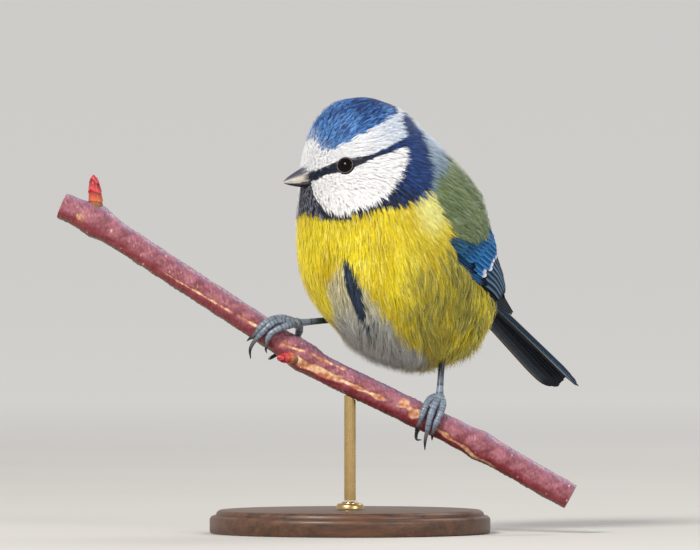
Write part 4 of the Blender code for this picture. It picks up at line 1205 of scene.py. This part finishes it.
def tail_feather(index, side, draw):
    """One tail feather: index 0 is the middle pair's, and outer ones lie lower round the arch."""
    slope = math.radians(TAIL_SLOPE)
    back = np.array([-math.cos(slope), 0.0, -math.sin(slope)])
    up = np.array([-math.sin(slope), 0.0, math.cos(slope)])
    left = np.array([0.0, 1.0, 0.0])
    spread = 0.45 + 0.55 * np.minimum(ALONG / 0.8, 1.0)
    width = TAIL_HALF_WIDTH * feather_shape(TAIL_POINT) * (0.6 + 0.4 * np.minimum(ALONG / 0.3, 1))
    middle = (0.3 + TAIL_STEP * index) * spread
    layer = index if side > 0 else index + 0.5
    angle = (middle[:, None] - ACROSS * width[:, None]) / TAIL_ARCH
    radius = TAIL_ARCH - TAIL_LAYER * layer + 0.1 * (1 - ACROSS**2) + 0.05 * SHAFT
    length = TAIL_LENGTHS[index] * (1 + 0.004 * draw.normal())
    points = (np.array(TAIL_ROOT) + back * (ALONG * length)[:, None, None]
              + left * (radius * np.sin(angle) * side)[..., None]
              + up * (radius * np.cos(angle) - TAIL_ARCH)[..., None])
    normals = left * (np.sin(angle) * side)[..., None] + up * np.cos(angle)[..., None]
    edge = TAIL_EDGES[(index > 0) + (index == len(TAIL_LENGTHS) - 1)]
    colours = vane_colours((edge, *TAIL_TONES), TAIL_POINT)
    return vane(place(points, "body"), normals @ BODY_AXES, colours, TAIL_UNDER_SHADE)


def make_tail(finish):
    draw = np.random.default_rng(37)
    parts = [tail_feather(k, side, draw) for k in range(len(TAIL_LENGTHS)) for side in (1, -1)]
    return settle(joined("tail_feathers", parts, finish), "tail_blue", "tail")


# Eyes and bill


def make_eyes(finish, lid_finish):
    for name, centre, look in zip(("left", "right"), *eye_centres()):
        editing = bmesh.new()
        segments, rings = EYE_GRID
        bmesh.ops.create_uvsphere(editing, u_segments=segments, v_segments=rings, radius=EYE_RADIUS)
        turn = Vector((0, 0, 1)).rotation_difference(Vector(look)).to_matrix()
        bmesh.ops.rotate(editing, verts=editing.verts[:], cent=(0, 0, 0), matrix=turn)
        bmesh.ops.triangulate(editing, faces=editing.faces[:])
        points, faces = arrays_of(editing)
        facing = points @ look / EYE_RADIUS
        iris = ramp(facing, 0.72, 0.8) * (1 - ramp(facing, 0.84, 0.87))
        made = triangle_mesh(f"eyeball_{name}", points + centre, faces, finish)
        paint(made, mixed(srgb(8, 8, 9), srgb(22, 14, 10), iris))
        settle(made, "eye_black", f"eye_{name}")
        make_lid(f"lid_{name}", centre, look, lid_finish)


def make_lid(name, centre, look, finish):
    """The rim of the lids: a dark ring that carries a row of small pale scales."""
    rise = math.sqrt(EYE_RADIUS**2 - LID_RADIUS**2) + 0.05
    first = unit(np.cross(look, (0.0, 0.0, 1.0)))
    turn, section = (circle(count)[:, None] for count in LID_GRID)
    spokes = first * np.cos(turn) + np.cross(look, first) * np.sin(turn)
    pulse = np.cos(turn * LID_SCALES / 2) ** 2
    middle = centre + look * rise + spokes * (LID_RADIUS * (1 + 0.035 * np.cos(2 * turn)) + 0.08)
    around = np.cos(section) * spokes[:, None] + np.sin(section) * look
    points = middle[:, None] + (0.12 + 0.05 * pulse)[..., None] * around
    tones = mixed(srgb(26, 26, 30), srgb(106, 100, 94), np.repeat(pulse**2, len(section)))
    faces = grid_faces(*LID_GRID, wrap_rows=True)
    settle(joined(name, [(points.reshape(-1, 3), faces, tones)], finish), "eye_black")


def make_bill(finish):
    """Both mandibles, with a ridge along the upper one and a pale band over its cutting edge."""
    ahead, culmen, mouth = smooth_curve([row[:3] for row in BILL], BILL_STATIONS).T[..., None]
    _, lower, wide = smooth_curve([(row[0], *row[3:]) for row in BILL], BILL_STATIONS).T[..., None]
    turn = np.linspace(0, math.pi, BILL_SIDES)
    over, under = np.sin(turn) ** 0.85, np.sin(turn) ** 0.75
    banded = mixed(srgb(184, 176, 166), srgb(64, 66, 78), ramp(over, 0.42, 0.68))
    banded = banded * (0.7 + 0.3 * ramp(over, 0.0, 0.25))[:, None]
    plain = mixed(srgb(92, 90, 92), srgb(26, 26, 31), ramp(under, 0.0, 0.5))
    halves = {
        "upper": (mouth + 0.1, np.maximum(culmen, mouth + 0.22), over, banded),
        "lower": (mouth - 0.1, np.minimum(lower, mouth - 0.22), under, plain),
    }
    for name, (edge, ridge, lift, tones) in halves.items():
        rings = (ahead, wide * np.cos(turn) * (1 - 0.12 * lift**2), edge + (ridge - edge) * lift)
        points = place(np.stack(np.broadcast_arrays(*rings), axis=-1).reshape(-1, 3), "head")
        shape = (points, tube_faces(BILL_STATIONS, BILL_SIDES), np.tile(tones, (BILL_STATIONS, 1)))
        settle(joined(f"mandible_{name}", [shape], finish), "horn_grey", f"bill_{name}")


# Branch


def branch_path():
    path = smooth_curve(BRANCH, 46)
    radii = np.full(len(path), BRANCH_RADIUS)
    for at, height, half_length in KNOTS:
        radii = radii + height * np.exp(-(((path[:, 0] - at) / half_length) ** 2))
    return path, radii


def branch_frame(at_x):
    """The branch's middle, tangent, top and front directions at a place along X."""
    path = smooth_curve(BRANCH, 200)
    k = int(np.argmin(abs(path[:, 0] - at_x)))
    along = unit(path[min(k + 2, 199)] - path[max(k - 2, 0)])
    top = unit(np.array([0.0, 0.0, 1.0]) - along * along[2])
    return path[k], along, top, np.cross(along, top)


def round_branch(at_x, spots):
    """Points given along, degrees round and out from the branch's middle line."""
    centre, along, top, front = branch_frame(at_x)
    placed = []
    for shift, degrees, out in spots:
        angle = math.radians(degrees)
        ring = top * math.cos(angle) + front * math.sin(angle)
        placed.append(centre + along * shift + ring * out)
    return np.array(placed)


def bark_colours(along_x, degrees, points):
    """The bark's colour, how far it is peeled and how freckled, by the place along X and degrees round."""
    grain = ripple(points * np.array([0.45, 1.0, 1.0]), 2.2, 41)
    fine = ripple(points, 0.9, 42)
    front = abs((degrees + 180) % 360 - 180)
    red = mixed(srgb(152, 94, 104), srgb(112, 54, 62), 0.45 + 0.4 * grain + 0.25 * fine)
    # Painted sheen: the top of the bark is painted a paler violet-grey, as where light glances off it
    painted_top_sheen = ramp(-front, -72, -15) * np.clip(0.65 + 0.35 * grain, 0, 1)
    red = mixed(red, srgb(136, 112, 138), painted_top_sheen)
    scar = np.exp(-(((along_x - SCAR[0]) / 0.75) ** 2) - ((degrees - SCAR[1]) / 15) ** 2)
    red = mixed(red, srgb(216, 164, 120), scar * 1.4 * (0.7 + 0.4 * fine))
    red = mixed(red, srgb(122, 36, 44), ramp(front, 96, 122) * 0.75)
    red = mixed(red, srgb(100, 92, 58), ramp(front, 140, 166) * 0.85)
    freckle = np.clip(ripple(points, 1.5, 43) * 3.0 - 4.6, 0, 1)
    red = mixed(red, srgb(206, 174, 148), freckle * 0.8)
    peeled = np.zeros(len(points))
    for start, stop, first, second, half in PEELS:
        share = (along_x - start) / (stop - start)
        middle = first + (second - first) * share
        off = abs(degrees - middle) / (half * (1 + 0.4 * ripple(points * RAGGED, 1.6, 44)))
        ends = ramp(share, -0.06, 0.1) * ramp(-share, -1.06, -0.9)
        peeled = np.maximum(peeled, ramp(-off, -1.15, -0.8) * ends)
    torn = 0.45 + 0.5 * ripple(points * RAGGED, 1.0, 45) + 0.3 * ripple(points, 2.4, 46)
    wood = mixed(srgb(222, 182, 146), srgb(168, 102, 66), torn)
    return mixed(red, wood, peeled), peeled, freckle


def make_branch(finish):
    rings, sides = BRANCH_GRID
    path, radii = branch_path()
    at, known = np.linspace(0, len(path) - 1, rings), np.arange(len(path))
    path, radii = interp_rows(at, known, path), np.interp(at, known, radii)
    first, second = side_vectors(path)
    turn = circle(sides)[:, None]
    spokes = np.cos(turn) * first[:, None] + np.sin(turn) * second[:, None]
    along = unit(np.gradient(path, axis=0))
    top = unit(np.array([0.0, 0.0, 1.0]) - along * along[:, 2:])
    front = np.cross(along, top)
    degrees = np.degrees(np.arctan2((spokes * front[:, None]).sum(-1), (spokes * top[:, None]).sum(-1)))
    flat = (path[:, None] + spokes * radii[:, None, None]).reshape(-1, 3)
    colours, peeled, freckle = bark_colours(np.repeat(path[:, 0], sides), degrees.ravel(), flat)
    rough = (0.08 * ripple(flat * np.array([0.3, 1, 1]), 2.5, 51) + 0.05 * ripple(flat, 1.1, 52)
             + 0.16 * freckle - 0.28 * peeled + 0.06 * peeled * ripple(flat, 0.8, 53))
    reach = radii[:, None] + rough.reshape(rings, sides) - 0.12
    tube = swept(path, reach, sides, colours.reshape(rings, sides, 3))
    settle(joined("branch", [tube], finish), "bark_red", "perch")


def make_bud(name, finish):
    """A pointed bud of overlapping scales on a corky foot."""
    at_x, degrees, length, radius, (lean, rise) = BUDS[name]
    rings, sides = BUD_GRID
    _, along, top, front = branch_frame(at_x)
    angle = math.radians(degrees)
    way = unit(top * math.cos(angle) + front * math.sin(angle) + along * lean + top * rise)
    foot = round_branch(at_x, [(0.0, degrees, BRANCH_RADIUS - 0.8)])[0]
    share, turn = np.linspace(0, 1, rings), circle(sides)
    body = np.interp(share, [0, 0.25, 0.5, 0.75, 0.92, 1.0], [1.0, 0.98, 0.93, 0.76, 0.46, 0.1])
    scales = (share[:, None] * 3.4 + 0.35 * np.cos(2 * turn) * share[:, None] + 0.2) % 1.0
    tones = mixed(srgb(198, 70, 74), srgb(116, 26, 36), scales.ravel() * 1.2 - 0.15)
    tones = mixed(tones, srgb(190, 112, 66), np.repeat(1 - ramp(share, 0.22, 0.6), sides) * 0.7)
    tones = mixed(tones, srgb(118, 92, 66), np.repeat(1 - ramp(share, 0.1, 0.26), sides))
    line = foot + way * (share * length)[:, None]
    reach = (radius * body * 0.98)[:, None] * (1 - 0.13 * scales)
    tube = swept(line, reach, sides, tones.reshape(rings, sides, 3))
    settle(joined(name + "_scales", [tube], finish), "bud_red", name)


# Legs


def scuted(path, radii, scutes, groove, shade):
    """A tube in overlapping scutes, with painted shade that darkens the grooves between them."""
    share = np.linspace(0, 1, len(path))
    saw = (share * scutes + 0.22 * ripple(path, 2.0, 63)) % 1.0
    reach = radii * (1 + groove * (ramp(saw, 0.0, 0.25) - 0.6 * saw))
    # Painted shade: dark in each groove, lighter over each scute
    tones = mixed(srgb(118, 130, 146), srgb(52, 58, 68), 1 - ramp(saw, 0.0, 0.3)) * shade[:, None]
    return swept(path, reach[:, None], LEG_SIDES, tones[:, None])


def toe(line):
    """A toe that swells at its joints and narrows where its claw starts."""
    share = np.linspace(0, 1, len(line))
    joints = sum(np.exp(-(((share - spot) / 0.06) ** 2)) for spot in TOE_JOINTS)
    radii = np.interp(share, [0, 1], TOE_RADII) * (1 + 0.1 * joints)
    radii = radii * np.interp(share, [0.93, 1], [1, 0.6])
    return scuted(line, radii, 12, 0.11, 0.92 + 0.1 * ripple(line, 1.5, 64))


def sole(pad):
    """The ball of the foot, from which the toes spread."""
    editing = bmesh.new()
    bmesh.ops.create_icosphere(editing, subdivisions=3, radius=PAD_RADIUS * 0.98)
    points, faces = arrays_of(editing)
    points = points + pad
    grain = 0.5 + 0.5 * ripple(points, 0.8, 61)
    return points, faces, mixed(srgb(128, 138, 152), srgb(84, 90, 102), grain)


def make_claw(name, hooked, finish):
    share = np.linspace(0, 1, len(hooked))
    radii = np.interp(share, [0, 0.5, 1], CLAW_SIZES)
    tones = mixed(srgb(92, 92, 98), srgb(22, 22, 24), ramp(share, 0.1, 0.7))
    tube = swept(hooked, radii[:, None], CLAW_SIDES, tones[:, None], 0.8)
    settle(joined(f"hook_{name}", [tube], finish), "horn_grey", f"claw_{name}")


def make_leg(side, finish, horn):
    foot = FEET[side]
    at, ankle = foot["place"], np.array(foot["ankle"])
    pad = round_branch(at, [foot["pad"]])[0]
    tarsus_steps, toe_steps, claw_steps = LEG_STEPS
    share = np.linspace(0, 1, tarsus_steps)
    shank = smooth_curve([pad, pad * 0.72 + ankle * 0.28, ankle], tarsus_steps)
    radii = np.interp(share, [0, 0.12, 0.3, 1.0], TARSUS_RADII)
    # Painted shade: the tarsus darkens to near black towards its top, under the body
    parts = [scuted(shank, radii, 4.4, 0.05, 1 - 0.9 * ramp(share, 0.14, 0.42))]
    for number, (spots, claw_spots) in enumerate(zip(foot["toes"], foot["claws"]), 1):
        line = smooth_curve([pad, *round_branch(at, spots)], toe_steps)
        parts.append(toe(line))
        start = line[-1] - unit(line[-1] - line[-2]) * 0.5
        hooked = smooth_curve([start, *round_branch(at, claw_spots)], claw_steps)
        make_claw(f"{side}_{number}", hooked, horn)
    parts.append(sole(pad))
    settle(joined(f"shank_{side}", parts, finish), "leg_grey", f"leg_{side}")


# Stand


def turned(name, profile, steps, centre, finish, slot_name, node):
    """A turned piece from its profile of radius and height, from the axis below to the axis above."""
    radii, heights = np.array(profile).T[..., None]
    turn = circle(steps)
    rings = (radii * np.cos(turn) + centre[0], radii * np.sin(turn) + centre[1], heights)
    points = np.stack(np.broadcast_arrays(*rings), axis=-1).reshape(-1, 3)
    shape = (points, tube_faces(len(profile), steps), np.full_like(points, 0.5))
    settle(joined(name, [shape], finish), slot_name, node)


def arc(start, stop):
    """Points of a swelling quarter round from start to stop."""
    (radius, height), (last_radius, last_height) = start, stop
    return [(radius + (last_radius - radius) * (1 - math.cos(t)),
             height + (last_height - height) * math.sin(t)) for t in np.linspace(0, math.pi / 2, 8)]


def make_stand(wood, brass):
    _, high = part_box("stand_base")
    radius, _, top = np.array(high) / MM
    profile = [(0.01, 0.0), (radius - 0.4, 0.0), (radius, 0.4), (radius, top - 2.6)]
    profile += arc((radius, top - 2.6), (radius - 1.2, top - 1.4)) + [(radius - 1.6, top - 1.4)]
    profile += arc((radius - 1.6, top - 1.4), (radius - 3.0, top)) + [(0.01, top)]
    turned("base_turned", profile, 160, (0.0, 0.0), wood, "base_wood", "stand_base")
    low, high = (np.array(corner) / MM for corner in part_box("stand_collar"))
    wide, shoulder = (high[0] - low[0]) / 2, high[2] - 0.5
    profile = [(0.01, low[2]), (wide, low[2])] + arc((wide, low[2]), (wide * 0.8, shoulder))
    profile += arc((wide * 0.62, shoulder), (ROD_RADIUS + 0.15, high[2])) + [(0.01, high[2])]
    turned("collar_turned", profile, 64, (low + high) / 2, brass, "rod_brass", "stand_collar")
    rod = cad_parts["stand_rod"]
    rod.data.materials.clear()
    rod.data.materials.append(brass)


# Stage, lights and camera


def stage_material():
    """Pale near the stand, and darker near the rim, which gives a little light of its own."""
    floor = Nodes("stage_floor")
    floor.set(Roughness=0.85, Emission_Color=(1.0, 0.98, 0.95, 1.0))
    gradient = floor.add("ShaderNodeTexGradient", gradient_type="SPHERICAL")
    floor.link(floor.place(*[1 / STAGE_RADIUS] * 3), gradient.inputs["Vector"])
    inward = gradient.outputs["Fac"]
    mottle = floor.between(floor.noise(3, floor.place()), 0.0, 1.0)
    near = floor.mix(mottle, (0.50, 0.485, 0.46), (0.54, 0.525, 0.50))
    far = floor.between(inward, 1.0, 0.0, *STAGE_FADE)
    floor.colour(floor.mix(far, near, (0.08, 0.078, 0.075)))
    glow = floor.between(inward, STAGE_GLOW, 0.0, *STAGE_FADE)
    floor.link(glow, floor.shader.inputs["Emission Strength"])
    return floor.material


def make_stage():
    """A round floor whose far rim curves up into a wall."""
    profile = [(reach, 0.0) for reach in np.linspace(0.1, STAGE_FLAT, 6)]
    profile += [(STAGE_FLAT + (STAGE_RADIUS - STAGE_FLAT) * share, STAGE_RISE * share**3)
                for share in np.linspace(0.04, 1, 25)]
    profile.append((STAGE_RADIUS, STAGE_RADIUS))
    vertices = [(r * math.cos(t), r * math.sin(t), z) for r, z in profile for t in circle(STAGE_STEPS)]
    faces = [(len(vertices), j, (j + 1) % STAGE_STEPS) for j in range(STAGE_STEPS)]
    vertices.append((0.0, 0.0, 0.0))
    for k in range(len(profile) - 1):
        for j in range(STAGE_STEPS):
            a, b = k * STAGE_STEPS + j, k * STAGE_STEPS + (j + 1) % STAGE_STEPS
            faces.append((a, a + STAGE_STEPS, b + STAGE_STEPS, b))
    mesh = bpy.data.meshes.new("backdrop")
    mesh.from_pydata(vertices, [], faces)
    mesh.materials.append(stage_material())
    mesh.shade_smooth()
    made = bpy.data.objects.new("backdrop", mesh)
    bpy.context.scene.collection.objects.link(made)


def add_lamp(name, place_at, size, power, colour):
    """A round lamp that is turned towards the bird."""
    lamp = bpy.data.lights.new(name, "AREA")
    lamp.shape = "DISK"
    lamp.size = size
    lamp.energy = power
    lamp.color = colour
    made = bpy.data.objects.new(name, lamp)
    made.location = place_at
    made.rotation_euler = (Vector(LAMPS_AIM) - Vector(place_at)).to_track_quat("-Z", "Y").to_euler()
    bpy.context.scene.collection.objects.link(made)


def make_lights():
    for name, lamp in LAMPS.items():
        add_lamp(name, *lamp)
    world = bpy.data.worlds.new("studio")
    world.use_nodes = True
    background = world.node_tree.nodes["Background"]
    background.inputs["Color"].default_value = SKY
    background.inputs["Strength"].default_value = SKY_STRENGTH
    bpy.context.scene.world = world
    bpy.context.scene.view_settings.view_transform = "Standard"


def make_camera():
    lens = bpy.data.cameras.new("camera")
    lens.sensor_width = SENSOR
    lens.lens = SENSOR * CAMERA_AWAY / (FRAME_WIDTH * MM)
    made = bpy.data.objects.new("camera", lens)
    made.location = (0.0, -CAMERA_AWAY, CAMERA_HEIGHT * MM)
    made.rotation_euler = (math.pi / 2, 0.0, 0.0)
    bpy.context.scene.collection.objects.link(made)
    bpy.context.scene.camera = made


def main():
    make_camera()
    make_lights()
    make_stage()
    finish = {name: painted_material(name, *values) for name, values in FINISHES.items()}
    surface, triangles = skin_arrays()
    make_skin(surface, triangles, finish["skin_down"])
    make_coat(surface, triangles, finish["plumage"])
    make_eyes(eye_material(), finish["horn"])
    make_bill(finish["horn"])
    make_wing("wing_left", 1, finish["vanes"])
    make_wing("wing_right", -1, finish["vanes"])
    make_tail(finish["vanes"])
    make_branch(finish["bark"])
    for name in BUDS:
        make_bud(name, finish["bud"])
    for side in ("left", "right"):
        make_leg(side, finish["scutes"], finish["horn"])
    make_stand(wood_material(), brass_material())


main()
